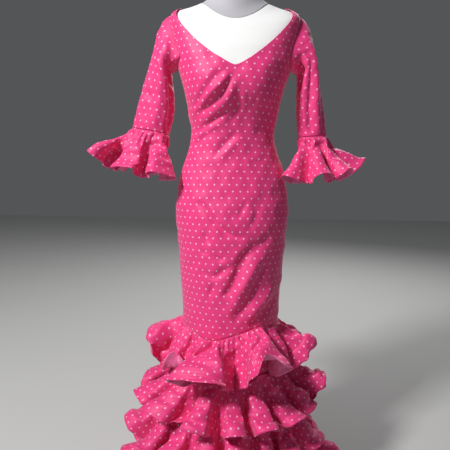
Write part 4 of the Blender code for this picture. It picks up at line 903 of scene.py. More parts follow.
def flounce_points(columns, per_lobe, seam, length, rows, hang, flips, folds, seed):
    """Points of a flounce, from its seam to its hem."""
    start, out_way, along, down = seam(columns.degrees)
    t = np.linspace(0.0, 1.0, rows + 1)[:, None]
    lobe = columns.lobe
    loop = np.radians(lobe.loop) * np.sin(0.5 * np.pi * np.clip(t / LOOP_REACH, 0.08, 1.0))
    across, crest = meander(columns, loop, per_lobe)
    crest = crest ** lobe.round
    bend = (hang.start + (hang.end - hang.start) * t * (2.0 - t)) * (1.0 + lobe.sag * (0.5 - t))
    turned_up = np.clip((t - CURL_FROM) / (1.0 - CURL_FROM), 0.0, 1.0) ** 1.5
    angle = (hang.valley + (lobe.spread - hang.valley) * crest) * bend
    angle = angle + lobe.curl * crest * turned_up
    for flip in flips:
        near = np.exp(-((columns.degrees - flip.at) / flip.width) ** 2)
        angle = angle + flip.turn * near * np.clip((t - flip.start) / 0.12, 0.0, 1.0)
    angle = np.radians(angle)
    middle = (angle[1:] + angle[:-1]) / 2
    zeros = np.zeros((1, len(columns.phase)))
    out = np.vstack([zeros, np.cumsum(np.sin(middle), axis=0)]) / rows
    drop = np.vstack([zeros, np.cumsum(np.cos(middle), axis=0)]) / rows
    points = start + (out_way * out[..., None] + down * drop[..., None]) * length

    half = np.radians(np.where(across < 0, columns.before, columns.after))
    radius = hang.root + out * length
    sideways = half * radius * (across - columns.phase)
    sideways += 2 * half * hang.swell * radius * np.sin(np.pi * across) * t ** 1.5
    sideways += lobe.lean * crest * t ** 1.4
    seam_run = np.cumsum(np.linalg.norm(np.diff(start, axis=0, append=start[:1]), axis=1))
    hem_run = np.cumsum(np.linalg.norm(np.diff(points[-1], axis=0, append=points[-1][:1]), axis=1))
    gathers = np.sin(2 * np.pi * seam_run / GATHER_PITCH + 1.3 * np.sin(seam_run * 31.0 + seed))
    gathers *= 0.7 + 0.5 * np.sin(seam_run * 57.0 + 2.0 * seed)
    lift = GATHER_DEPTH * gathers * (t / 0.05) ** 0.5 * np.exp(-t / GATHER_FADE)
    lift = lift + lengthwise_creases(columns, t, seed)
    frill = np.sin(2 * np.pi * hem_run / FRILL_PITCH + 1.5 * np.sin(hem_run * 17.0 + seed))
    lift = lift + FRILL_DEPTH * frill * t ** 3
    lift = lift + ripple(seam_run * (1.0 + t), t * length, *FINE_RIPPLE, seed)
    lift = lift + t ** 0.5 * ripple(seam_run * (1.0 + 0.6 * t), t * length, *BROAD_RIPPLE,
                                    2.0 * seed + 1.0)
    lift = lift + fold_lift(np.broadcast_to(columns.degrees, lift.shape),
                            np.broadcast_to(t * TIER_STRETCH, lift.shape), folds)
    lift = lift * np.clip(t / 0.06, 0.0, 1.0)
    lift = lift + seam_dip(t * length)
    normal = out_way * np.cos(angle)[..., None] - down * np.sin(angle)[..., None]
    return points + along * sideways[..., None] + normal * lift[..., None]


def flounce_cut(points, length):
    """The flounce laid flat: an arc, from how much longer its hem is than its seam."""
    def row_steps(row):
        return np.linalg.norm(np.roll(row, -1, axis=0) - row, axis=1)
    seam_steps, hem_steps = row_steps(points[1]), row_steps(points[-1])
    turn = np.concatenate([[0.0], np.cumsum((hem_steps - seam_steps) / length)])
    middle = (turn[1:] + turn[:-1]) / 2
    zero = np.zeros(1)
    at_x = np.concatenate([zero, np.cumsum(seam_steps * np.cos(middle))])
    at_y = np.concatenate([zero, np.cumsum(seam_steps * np.sin(middle))])
    down = np.linspace(0.0, length, len(points))[:, None]
    cut = np.stack([at_x + down * np.sin(turn), at_y - down * np.cos(turn)], axis=-1)
    run = np.concatenate([zero, np.cumsum(hem_steps)])
    hem = np.stack([np.broadcast_to(run, down.shape[:1] + run.shape),
                    np.broadcast_to(length - down, down.shape[:1] + run.shape)], axis=-1)
    return cut, hem, (seam_steps.sum() + hem_steps.sum()) / 2


def flounce(name, points, length, outward):
    cut, hem, middle_length = flounce_cut(points, length)
    index = np.arange(points.shape[0] * points.shape[1]).reshape(points.shape[:2])
    index = np.hstack([index, index[:, :1]])
    if not outward:
        index, cut, hem = index[:, ::-1], cut[:, ::-1], hem[:, ::-1]
    cloth_piece(name, points.reshape(-1, 3), [Patch(index, cut, hem)],
                (middle_length, length))


def tier_lobes(tier):
    """The lobes placed at the front, then those behind, even but for small changes."""
    first, last = tier.front_lobes[0], tier.front_lobes[-1]
    step = (360.0 + first.at - last.at) / (tier.lobes_behind + 1)
    behind = []
    for k in range(tier.lobes_behind):
        turned_by = TURN_UNEVEN * math.sin(2.1 * k + 40.0 * tier.seam)
        spread = tier.spread_behind + SPREAD_UNEVEN * math.cos(1.7 * k + 25.0 * tier.seam)
        lean = LEAN_UNEVEN * math.sin(2.6 * k + 9.0 * tier.seam)
        curl = CURL_BEHIND + CURL_UNEVEN * math.sin(1.9 * k + 17.0 * tier.seam)
        loop = LOOP_BEHIND + LOOP_UNEVEN * math.sin(2.9 * k + 11.0 * tier.seam)
        behind.append(Lobe(last.at + step * (k + 1) + turned_by, spread, lean, curl, loop,
                           last.sag))
    return tier.front_lobes + behind


def folds_behind(tier):
    """Folds down the lobes behind, leaning to and fro, unlike each other."""
    made = []
    for k, lobe in enumerate(tier_lobes(tier)[len(tier.front_lobes):]):
        lean = 7.0 * math.sin(2.3 * k + 19.0 * tier.seam)
        at = lobe.at + 3.0 * math.cos(1.9 * k + 31.0 * tier.seam)
        depth = 0.0070 + 0.0020 * math.sin(3.1 * k)
        made.append(Fold([(at - lean, 0.15 + 0.1 * (k % 3)), (at, 0.6), (at + lean, 0.96)],
                         2.2 + 0.4 * math.sin(1.3 * k), depth if k % 3 == 0 else -depth))
    return made


def tier_seam(tier):
    """The seam of a tier, just outside the skirt that carries it."""
    def seam(degrees):
        level = seam_level(degrees) if tier.seam == SKIRT_SEAM else np.full(len(degrees), tier.seam)
        normal = body_normals(degrees, level)
        out_way = unit(normal * np.array([1.0, 1.0, 0.0]))
        off = FIRST_TIER_OFF if tier.seam == SKIRT_SEAM else TIER_OFF
        start = sheath_points(degrees, level) + out_way * off
        along = np.stack([-out_way[:, 1], out_way[:, 0], np.zeros(len(degrees))], axis=-1)
        return start, out_way, along, np.array([0.0, 0.0, -1.0])
    return seam


def make_tiers():
    for number, tier in enumerate(TIERS):
        per_lobe = FIRST_TIER_COLUMNS if number == 0 else TIER_COLUMNS
        columns = lobe_columns(tier_lobes(tier), per_lobe)
        folds = stretched(TIER_FOLDS.get(tier.name, []) + folds_behind(tier), TIER_STRETCH)
        points = flounce_points(columns, per_lobe, tier_seam(tier), tier.length, tier.rows,
                                tier.hang, FLIPS.get(tier.name, []), folds, 0.7 + number)
        points = settled(points, TIER_SETTLE)
        flounce(tier.name, points, tier.length, True)


def cuff_seam(name):
    """The seam of a cuff flounce: the sleeve's last section."""
    side = SIDE_OF[name]
    last, above = SLEEVES[name][-1], between(SLEEVES[name], 0.9)

    def centre(ring):
        return np.array([side * (ring.outer_x + ring.inner_x) / 2, 0.0,
                         (ring.outer_z + ring.inner_z) / 2])

    def seam(degrees):
        turns = np.radians(degrees)
        down = unit(centre(last) - centre(above))
        points = sleeve_ring(last, side, turns)
        along = unit(sleeve_ring(last, side, turns + 0.01) - sleeve_ring(last, side, turns - 0.01))
        out_way = unit(np.cross(along, down)) * side
        return points + down * CUFF_START, out_way, along, down
    return seam


def make_cuffs():
    for number, (name, lobes) in enumerate(CUFFS.items()):
        columns = lobe_columns(lobes, CUFF_COLUMNS)
        points = flounce_points(columns, CUFF_COLUMNS, cuff_seam(name), CUFF_LENGTH, CUFF_ROWS,
                                CUFF_HANG, [], [], 5.1 + number)
        points = settled(points, CUFF_SETTLE)
        flounce(f"cuff_flounce_{name}", points, CUFF_LENGTH, SIDE_OF[name] < 0)


# ---------------------------------------------------------------- the form and its stand
def form_points(angle, level):
    off_ridge = np.abs(np.cos(np.radians(angle))) ** 0.5
    on_top = near_shoulder(level)
    inset = FORM_INSET * (1.0 - on_top) + SHOULDER_INSET * on_top * off_ridge
    return body_points(angle, level) - body_normals(angle, level) * inset[..., None]


def capped_rings(name, rings):
    """A closed solid through rings of points from top to bottom, with fans for its ends."""
    rows, columns = rings.shape[:2]
    index = np.arange(rows * columns).reshape(rows, columns)
    quads = corners(np.hstack([index, index[:, :1]])).reshape(-1, 4).tolist()
    top, bottom, last = rows * columns, rows * columns + 1, (rows - 1) * columns
    for k in range(columns):
        after = (k + 1) % columns
        quads.append((top, k, after))
        quads.append((bottom, last + after, last + k))
    points = np.vstack([rings.reshape(-1, 3), rings[0].mean(0), rings[-1].mean(0)])
    mesh = bpy.data.meshes.new(name)
    mesh.from_pydata(points.tolist(), [], quads)
    mesh.shade_smooth()
    return linked(name, mesh)


def shrunk(ring, share, height):
    return np.stack([ring[:, 0] * share, ring[:, 1] * share, np.full(len(ring), height)], axis=-1)


def make_form(settings):
    angles = -180.0 + 360.0 * np.arange(144) / 144
    levels = np.concatenate([np.linspace(NECK_JOINT - SEAM, 1.380, 44),
                             np.linspace(1.380, FORM_BOTTOM + 0.012, 110)[1:]])
    rings = form_points(angles[None, :], levels[:, None])
    edge = rings[-1]
    foot = [shrunk(edge, share, FORM_BOTTOM + height)
            for share, height in ((0.996, 0.007), (0.985, 0.003), (0.965, 0.001), (0.93, 0.0))]
    torso = capped_rings("form_torso_shell", np.concatenate([rings, foot]))
    torso.data.materials.append(shell_material("form_shell", settings.form_colour, 0.36))
    stands_for(torso, "form_torso")

    levels = np.linspace(1.558, NECK_JOINT + SEAM, 60)
    rings = form_points(angles[None, :], levels[:, None])
    dome = [shrunk(rings[0], share, NECK_TOP + height)
            for share, height in ((0.90, 0.003), (0.96, 0.0022), (0.99, 0.0008))]
    neck = capped_rings("form_neck_block", np.concatenate([dome, rings]))
    # The neck block takes a darker grey copy of the shell's material: painted shade for the shadow
    # that falls on the neck.
    neck.data.materials.append(shell_material("form_neck", settings.neck_shade_colour, 0.44))
    stands_for(neck, "form_neck")


def turned(name, profile, steps):
    """A turned solid: the profile of (radius, height) runs from the axis at the top, down
    the outside and back to the axis."""
    mesh = bpy.data.meshes.new(name)
    mesh.from_pydata([(r, 0.0, z) for r, z in profile], [],
                     [(i, i + 1) for i in range(len(profile) - 1)])
    obj = linked(name, mesh)
    screw = obj.modifiers.new("turn", "SCREW")
    screw.steps = steps
    screw.render_steps = steps
    screw.use_merge_vertices = True
    screw.merge_threshold = 0.00001
    screw.use_smooth_shade = True
    return obj


def rounded(radius, top, bottom, bevel, steps=6):
    """A disc's profile with its outer edges rounded."""
    profile = [(0.0, top)]
    for k in range(steps + 1):
        a = 0.5 * math.pi * k / steps
        profile.append((radius - bevel + bevel * math.sin(a), top - bevel + bevel * math.cos(a)))
    for k in range(steps + 1):
        a = 0.5 * math.pi * k / steps
        profile.append((radius - bevel + bevel * math.cos(a), bottom + bevel - bevel * math.sin(a)))
    return profile + [(0.0, bottom)]


def make_stand(settings):
    metal = metal_material("stand_metal", settings.metal_colour, 0.34)
    pole_top, plate = FORM_BOTTOM - SEAM, 0.012
    base = turned("stand_base_plate", rounded(0.150, plate, 0.0, 0.003), 128)
    pole = turned("stand_pole_tube", rounded(0.0125, pole_top, plate + SEAM, 0.0008, 3), 48)
    for obj, node in ((base, "stand_base"), (pole, "stand_pole")):
        obj.data.materials.append(metal)
        stands_for(obj, node)


# ---------------------------------------------------------------- the zip
ZIP_WIDTH, ZIP_DEPTH = 0.0036, 0.0018
SLIDER_DOWN, SLIDER_LENGTH, SLIDER_DEPTH = 0.009, 0.0090, 0.0026
CHAIN_START = 0.0063   # the chain's end below the slider's middle
LUG_HEIGHT, LUG_LENGTH, LUG_WIDTH, LUG_OVER_PIN = 0.0030, 0.0024, 0.0006, 0.0008
PIN_RADIUS, PIN_LIFT = 0.0005, 0.0032
EYE_RADIUS, EYE_BORE, EYE_WIDTH = 0.0015, 0.00085, 0.0018
TAB_LENGTH, TAB_WIDTH, TAB_THICKNESS, TAB_DROP = 0.0190, 0.0044, 0.0010, 0.0027
TOOTH_PITCH, TOOTH_WIDTH, TOOTH_RADIUS, TOOTH_LAP = 0.0013, 0.0019, 0.00042, 0.0004
TAB_HOLE = 0.0011      # radius of the hole near the tab's end


def back_axes(level):
    """Rows of a matrix on the centre back: X across, Y out of the cloth, Z up along it."""
    origin, out_way = sheath_points(180.0, level), body_normals(180.0, level)
    across = np.array([1.0, 0.0, 0.0])
    return origin, np.array([across, out_way, np.cross(across, out_way)])


def zip_object(name, bm, bevel, matrix=None):
    bmesh.ops.recalc_face_normals(bm, faces=bm.faces)
    mesh = bpy.data.meshes.new(name)
    bm.to_mesh(mesh)
    bm.free()
    if matrix is not None:
        mesh.transform(matrix)
    mesh.shade_smooth()
    mesh.set_sharp_from_angle(angle=math.radians(40))
    obj = linked(name, mesh)
    if bevel:
        edges = obj.modifiers.new("edges", "BEVEL")
        edges.width = bevel
        edges.segments = 3
        edges.limit_method = "ANGLE"
        edges.harden_normals = True
    return obj


def add_box(bm, size, centre):
    made = bmesh.ops.create_cube(bm, size=1.0)
    bmesh.ops.scale(bm, vec=size, verts=made["verts"])
    bmesh.ops.translate(bm, vec=centre, verts=made["verts"])


def add_rod(bm, radius, length, centre, sides=24):
    """A rod along X."""
    made = bmesh.ops.create_cone(bm, cap_ends=True, segments=sides, radius1=radius,
                                 radius2=radius, depth=length)
    bmesh.ops.rotate(bm, matrix=Matrix.Rotation(math.pi / 2, 3, "Y"), verts=made["verts"])
    bmesh.ops.translate(bm, vec=centre, verts=made["verts"])


def add_plate_with_hole(bm, outline, hole, thickness):
    """A flat plate across Y between two loops of as many (x, z) points, one in the other."""
    loops = []
    for y in (-thickness / 2, thickness / 2):
        for loop in (outline, hole):
            loops.append([bm.verts.new((x, y, z)) for x, z in loop])
    low_out, low_in, high_out, high_in = loops
    for k in range(len(outline)):
        n = (k + 1) % len(outline)
        for a, b in ((low_out, low_in), (low_in, high_in), (high_in, high_out),
                     (high_out, low_out)):
            bm.faces.new((a[k], a[n], b[n], b[k]))


def rounded_outline(width, top, bottom, radius, steps=8):
    """An upright rectangle with round corners, as (x, z) points."""
    points = []
    for turn, x, z in ((0, width / 2, top), (1, -width / 2, top), (2, -width / 2, bottom),
                       (3, width / 2, bottom)):
        centre = (x - math.copysign(radius, x), z - (radius if z == top else -radius))
        for k in range(steps + 1):
            a = 0.5 * math.pi * (turn + k / steps)
            points.append((centre[0] + radius * math.cos(a), centre[1] + radius * math.sin(a)))
    return points


def make_zip_chain(settings, top):
    """Coils that mesh down the middle, on a narrow tape."""
    count = int((top - ZIP_END) / TOOTH_PITCH)
    bm = bmesh.new()
    for k in range(2 * count):
        level = top - TOOTH_PITCH * (k + 0.5) / 2
        origin, axes = back_axes(level)
        side = 1.0 if k % 2 else -1.0
        middle = side * (TOOTH_WIDTH / 2 - TOOTH_LAP)
        made = bmesh.ops.create_cone(bm, cap_ends=True, segments=8, radius1=TOOTH_RADIUS,
                                     radius2=TOOTH_RADIUS, depth=TOOTH_WIDTH)
        turned_to = Matrix(axes.T.tolist()).to_4x4()
        turned_to.translation = origin + axes[0] * middle + axes[1] * ZIP_DEPTH * 0.22
        bmesh.ops.transform(bm, verts=made["verts"],
                            matrix=turned_to @ Matrix.Rotation(math.pi / 2, 4, "Y"))
    rows = []
    for level in np.linspace(top, ZIP_END, 60):
        origin, axes = back_axes(level)
        rows.append([bm.verts.new(origin + axes[0] * x + axes[1] * y)
                     for y in (-0.0002, -0.0006) for x in (-ZIP_WIDTH / 2, ZIP_WIDTH / 2)])
    for upper, lower in zip(rows, rows[1:]):
        for a, b in ((0, 1), (1, 3), (3, 2), (2, 0)):
            bm.faces.new((upper[a], upper[b], lower[b], lower[a]))
    for row in (rows[0], rows[-1]):
        bm.faces.new((row[0], row[1], row[3], row[2]))
    chain = zip_object("zip_chain_coils", bm, 0.0)
    chain.data.materials.append(shell_material("zip_nylon", settings.zip_colour, 0.34))
    stands_for(chain, "zip_chain")


def make_zip(settings):
    """The closed zip, its slider at the top and the pull on its pin."""
    slider_level = NECKLINES["back", "left"].lowest - SLIDER_DOWN
    make_zip_chain(settings, slider_level - CHAIN_START)
    origin, axes = back_axes(slider_level)
    place = Matrix(axes.T.tolist()).to_4x4()
    place.translation = origin
    metal = metal_material("zip_metal", settings.zip_colour, 0.30)

    bm = bmesh.new()
    plate = SLIDER_DEPTH * 0.30
    for side in (-1, 1):
        add_box(bm, (ZIP_WIDTH, plate, SLIDER_LENGTH), (0, side * (SLIDER_DEPTH - plate) / 2, 0))
    add_box(bm, (ZIP_WIDTH * 0.4, SLIDER_DEPTH * 0.7, SLIDER_LENGTH * 0.8), (0, 0, 0.0004))
    lug_x = EYE_WIDTH / 2 + SEAM + LUG_WIDTH / 2
    lug_y = PIN_LIFT + LUG_OVER_PIN - LUG_HEIGHT / 2
    for side in (-1, 1):
        add_box(bm, (LUG_WIDTH, LUG_HEIGHT, LUG_LENGTH), (side * lug_x, lug_y, 0))
    add_rod(bm, PIN_RADIUS, 2 * lug_x, (0, PIN_LIFT, 0))
    slider = zip_object("zip_slider_body", bm, 0.00022, place)

    bm = bmesh.new()
    ring = [(math.cos(2 * math.pi * k / 32), math.sin(2 * math.pi * k / 32)) for k in range(32)]
    add_plate_with_hole(bm, [(EYE_RADIUS * c, EYE_RADIUS * s) for c, s in ring],
                        [(EYE_BORE * c, EYE_BORE * s) for c, s in ring], EYE_WIDTH)
    bmesh.ops.rotate(bm, matrix=Matrix.Rotation(math.pi / 2, 3, "Z"), verts=bm.verts)
    rim = (EYE_BORE + EYE_RADIUS) / 2
    add_box(bm, (EYE_WIDTH * 0.9, TAB_THICKNESS * 0.9, TAB_DROP + 0.0008 - rim),
            (0, 0, -(rim + TAB_DROP + 0.0008) / 2))
    outline = rounded_outline(TAB_WIDTH, -TAB_DROP, -TAB_DROP - TAB_LENGTH, TAB_WIDTH * 0.36)
    hole_z = -TAB_DROP - TAB_LENGTH + TAB_WIDTH * 0.62
    hole = []
    for x, z in outline:
        a = math.atan2(z - hole_z, x)
        hole.append((TAB_HOLE * math.cos(a), hole_z + TAB_HOLE * math.sin(a)))
    add_plate_with_hole(bm, outline, hole, TAB_THICKNESS)
    pull = zip_object("zip_pull_tab", bm, 0.00018, place @ Matrix.Translation((0, PIN_LIFT, 0)))
    for obj, node, body in ((slider, "zip_slider", "root"), (pull, "zip_pull", "zip_pull")):
        obj.data.materials.append(metal)
        stands_for(obj, node, body)


# ---------------------------------------------------------------- materials
def new_group(name, inputs, outputs):
    """An empty shader node group with its sockets, or the one already made."""
    if name in bpy.data.node_groups:
        return bpy.data.node_groups[name], None, None
    tree = bpy.data.node_groups.new(name, "ShaderNodeTree")
    for label, kind, value in inputs:
        socket = tree.interface.new_socket(label, in_out="INPUT", socket_type=kind)
        if value is not None:
            socket.default_value = value
    for label, kind in outputs:
        tree.interface.new_socket(label, in_out="OUTPUT", socket_type=kind)
    return tree, tree.nodes.new("NodeGroupInput"), tree.nodes.new("NodeGroupOutput")


def feed(tree, node, inputs):
    """Fills a node's inputs: a socket is linked, and any other value is set."""
    for label, value in inputs.items():
        if isinstance(value, bpy.types.NodeSocket):
            tree.links.new(value, node.inputs[label])
        else:
            node.inputs[label].default_value = value


def add_node(tree, kind, inputs=None, **fields):
    node = tree.nodes.new("ShaderNode" + kind)
    for field, value in fields.items():
        setattr(node, field, value)
    feed(tree, node, inputs or {})
    return node


def math_node(tree, operation, *values):
    return add_node(tree, "Math", dict(enumerate(values)), operation=operation).outputs[0]


def dot_group():
    """Round dots on a staggered lattice over a flat cut in metres."""
    tree, inside, out = new_group("Dots", [
        ("Cut", "NodeSocketVector", None), ("Across", "NodeSocketFloat", 0.0198),
        ("Down", "NodeSocketFloat", 0.0356), ("Radius", "NodeSocketFloat", 0.0024),
        ("Soft", "NodeSocketFloat", 0.0003)], [("Mask", "NodeSocketFloat")])
    if out is None:
        return tree
    given = inside.outputs
    split = add_node(tree, "SeparateXYZ", {0: given["Cut"]})
    nearest = None
    for shift in (0.0, 0.5):
        parts = []
        for axis, pitch in (("X", "Across"), ("Y", "Down")):
            cell = math_node(tree, "DIVIDE", split.outputs[axis], given[pitch])
            cell = math_node(tree, "ADD", cell, shift)
            cell = math_node(tree, "SUBTRACT", math_node(tree, "FRACT", cell), 0.5)
            parts.append(math_node(tree, "MULTIPLY", cell, given[pitch]))
        square = math_node(tree, "ADD", math_node(tree, "MULTIPLY", parts[0], parts[0]),
                           math_node(tree, "MULTIPLY", parts[1], parts[1]))
        gap = math_node(tree, "SQRT", square)
        nearest = gap if nearest is None else math_node(tree, "MINIMUM", nearest, gap)
    ramp = add_node(tree, "MapRange", {
        "Value": nearest, "To Min": 1.0, "To Max": 0.0,
        "From Min": math_node(tree, "SUBTRACT", given["Radius"], given["Soft"]),
        "From Max": math_node(tree, "ADD", given["Radius"], given["Soft"])},
        interpolation_type="SMOOTHSTEP")
    feed(tree, out, {"Mask": ramp.outputs["Result"]})
    return tree


def weave_group():
    """A plain weave: the height of crossing threads and the faint slubs along them."""
    tree, inside, out = new_group("Weave", [
        ("Cut", "NodeSocketVector", None), ("Pitch", "NodeSocketFloat", 0.0005)],
        [("Height", "NodeSocketFloat"), ("Slub", "NodeSocketFloat")])
    if out is None:
        return tree
    given = inside.outputs
    split = add_node(tree, "SeparateXYZ", {0: given["Cut"]})
    waves = []
    for axis in ("X", "Y"):
        turn = math_node(tree, "MULTIPLY", split.outputs[axis], 2 * math.pi)
        waves.append(math_node(tree, "SINE", math_node(tree, "DIVIDE", turn, given["Pitch"])))
    slubs = []
    for stretch in ((30.0, 900.0, 1.0), (900.0, 30.0, 1.0)):
        mapping = add_node(tree, "Mapping", {"Scale": stretch, "Vector": given["Cut"]})
        noise = add_node(tree, "TexNoise", {"Scale": 1.0, "Detail": 2.0,
                                            "Vector": mapping.outputs["Vector"]})
        slubs.append(noise.outputs["Fac"])
    feed(tree, out, {"Height": math_node(tree, "MULTIPLY", *waves),
                     "Slub": math_node(tree, "MULTIPLY", *slubs)})
    return tree


def crumple_group():
    """Soft creases of handled cloth, as a height."""
    tree, inside, out = new_group("Crumple", [
        ("Place", "NodeSocketVector", None), ("Size", "NodeSocketFloat", 40.0)],
        [("Height", "NodeSocketFloat")])
    if out is None:
        return tree
    noises = []
    for factor, detail in ((1.0, 3.0), (2.7, 4.0)):
        scale = math_node(tree, "MULTIPLY", inside.outputs["Size"], factor)
        noise = add_node(tree, "TexNoise", {
            "Detail": detail, "Roughness": 0.55, "Distortion": 0.6,
            "Vector": inside.outputs["Place"], "Scale": scale})
        noises.append(noise.outputs["Fac"])
    ridged = math_node(tree, "ABSOLUTE", math_node(tree, "SUBTRACT", noises[0], 0.5))
    feed(tree, out, {"Height": math_node(tree, "MULTIPLY_ADD", noises[1], 0.35, ridged)})
    return tree


def hem_group():
    """A turned and stitched edge: the step of the hem, and the thread of its stitches."""
    tree, inside, out = new_group("Hem", [
        ("Edge", "NodeSocketVector", None), ("Depth", "NodeSocketFloat", 0.006),
        ("Stitch", "NodeSocketFloat", 0.0030)],
        [("Height", "NodeSocketFloat"), ("Thread", "NodeSocketFloat")])
    if out is None:
        return tree
    given = inside.outputs
    split = add_node(tree, "SeparateXYZ", {0: given["Edge"]})
    step = add_node(tree, "MapRange", {
        "Value": split.outputs["Y"], "To Min": 1.0, "To Max": 0.0, "From Min": given["Depth"],
        "From Max": math_node(tree, "ADD", given["Depth"], 0.0012)},
        interpolation_type="SMOOTHSTEP")
    row = math_node(tree, "SUBTRACT", split.outputs["Y"],
                    math_node(tree, "SUBTRACT", given["Depth"], 0.0010))
    row = math_node(tree, "LESS_THAN", math_node(tree, "ABSOLUTE", row), 0.00030)
    dash = math_node(tree, "FRACT", math_node(tree, "DIVIDE", split.outputs["X"],
                                              given["Stitch"]))
    dash = math_node(tree, "LESS_THAN", dash, 0.72)
    feed(tree, out, {"Height": step.outputs["Result"],
                     "Thread": math_node(tree, "MULTIPLY", row, dash)})
    return tree


def new_material(name):
    """A material with its Principled shader, or None if it was made before."""
    if name in bpy.data.materials:
        return bpy.data.materials[name], None
    made = bpy.data.materials.new(name)
    made.use_nodes = True
    return made, made.node_tree.nodes["Principled BSDF"]


def bumped(tree, height, strength, distance, under=None):
    """The normal of a bump, over another one where there is one."""
    inputs = {"Strength": strength, "Distance": distance, "Height": height}
    if under is not None:
        inputs["Normal"] = under
    return add_node(tree, "Bump", inputs).outputs["Normal"]


def mixed(tree, factor, first, second):
    """A colour mix; a colour is a socket or four numbers."""
    return add_node(tree, "Mix", {"Factor": factor, "A": first, "B": second},
                    data_type="RGBA").outputs["Result"]


def solid(colour, share=1.0):
    """A colour darkened to a share of itself, with its alpha."""
    return tuple(c * share for c in colour[:3]) + (1.0,)


def woven_material(name, settings, colour, dot_colour, dot_share, sheen):
    """Dotted cloth: dots and weave follow the cut, hems are turned and stitched."""
    made, shader = new_material(name)
    if shader is None:
        return made
    tree = made.node_tree
    cut = add_node(tree, "UVMap", uv_map="cut").outputs["UV"]
    edge = add_node(tree, "UVMap", uv_map="hem").outputs["UV"]
    place = add_node(tree, "TexCoord").outputs["Object"]
    dots = add_node(tree, "Group", {
        "Cut": cut, "Across": settings.dot_spacing, "Down": settings.dot_spacing * 1.80,
        "Radius": settings.dot_diameter / 2}, node_tree=dot_group())
    weave = add_node(tree, "Group", {"Cut": cut}, node_tree=weave_group())
    crumple = add_node(tree, "Group", {"Place": place}, node_tree=crumple_group())
    hem = add_node(tree, "Group", {"Edge": edge}, node_tree=hem_group())

    slub = weave.outputs["Slub"]
    base = mixed(tree, slub, solid(colour), solid(colour, 0.86))
    mask = math_node(tree, "MULTIPLY", dots.outputs["Mask"], dot_share)
    base = mixed(tree, mask, base, solid(dot_colour))
    thread = math_node(tree, "MULTIPLY", hem.outputs["Thread"], 0.8)
    normal = None
    for height, strength, distance in ((crumple.outputs["Height"], 0.35, 0.0030),
                                       (hem.outputs["Height"], 0.60, 0.0006),
                                       (weave.outputs["Height"], 0.12, 0.0001)):
        normal = bumped(tree, height, strength, distance, normal)
    feed(tree, shader, {
        "Base Color": mixed(tree, thread, base, solid(colour, 0.80)),
        "Roughness": math_node(tree, "MULTIPLY_ADD", slub, 0.18, 0.50),
        "Specular IOR Level": 0.38, "Sheen Weight": sheen, "Sheen Roughness": 0.45,
        "Sheen Tint": (1.0, 0.72, 0.86, 1.0), "Normal": normal})
    return made


def cloth_material(settings):
    return woven_material("dotted_cloth", settings, settings.cloth_colour, settings.dot_colour,
                          0.94, 0.30)


def reverse_material(settings):
    return woven_material("dotted_cloth_reverse", settings, settings.reverse_colour,
                          settings.dot_colour, 0.30, 0.18)


def shell_material(name, colour, roughness):
    """Moulded shell with a satin skin, slightly uneven."""
    made, shader = new_material(name)
    if shader is None:
        return made
    tree = made.node_tree
    place = add_node(tree, "TexCoord").outputs["Object"]
    height = add_node(tree, "Group", {"Size": 9.0, "Place": place},
                      node_tree=crumple_group()).outputs["Height"]
    feed(tree, shader, {
        "Base Color": mixed(tree, height, solid(colour), solid(colour, 0.95)),
        "Roughness": math_node(tree, "MULTIPLY_ADD", height, 0.20, roughness),
        "Normal": bumped(tree, height, 0.10, 0.0008)})
    return made


def metal_material(name, colour, roughness):
    """Brushed metal with fine streaks."""
    made, shader = new_material(name)
    if shader is None:
        return made
    tree = made.node_tree
    place = add_node(tree, "TexCoord").outputs["Object"]
    mapping = add_node(tree, "Mapping", {"Scale": (60.0, 60.0, 900.0), "Vector": place})
    streaks = add_node(tree, "TexNoise", {"Scale": 1.0, "Detail": 3.0,
                                          "Vector": mapping.outputs["Vector"]}).outputs["Fac"]
    feed(tree, shader, {
        "Base Color": mixed(tree, streaks, solid(colour), solid(colour, 0.85)),
        "Roughness": math_node(tree, "MULTIPLY_ADD", streaks, 0.22, roughness - 0.1),
        "Metallic": 1.0, "Normal": bumped(tree, streaks, 0.08, 0.0002)})
    return made


# ---------------------------------------------------------------- the stage
FLOOR_REACH = 6.0
Lamp = namedtuple("Lamp", "name at aim size power")
LAMPS = (Lamp("key", (-2.2, -2.0, 3.3), (0.0, 0.0, 0.85), 0.6, 168.0),
         Lamp("fill", (2.0, -2.6, 1.2), (0.0, 0.0, 0.8), 2.0, 3.0),
         Lamp("back", (0.9, 2.6, 2.6), (0.0, 0.0, 0.8), 2.0, 55.0))
WORLD_STRENGTH = 0.095
CAMERA_AT, CAMERA_PITCH, CAMERA_ROLL, CAMERA_LENS = (-0.02, -1.38, 1.06), 9.0, 0.8, 37.6


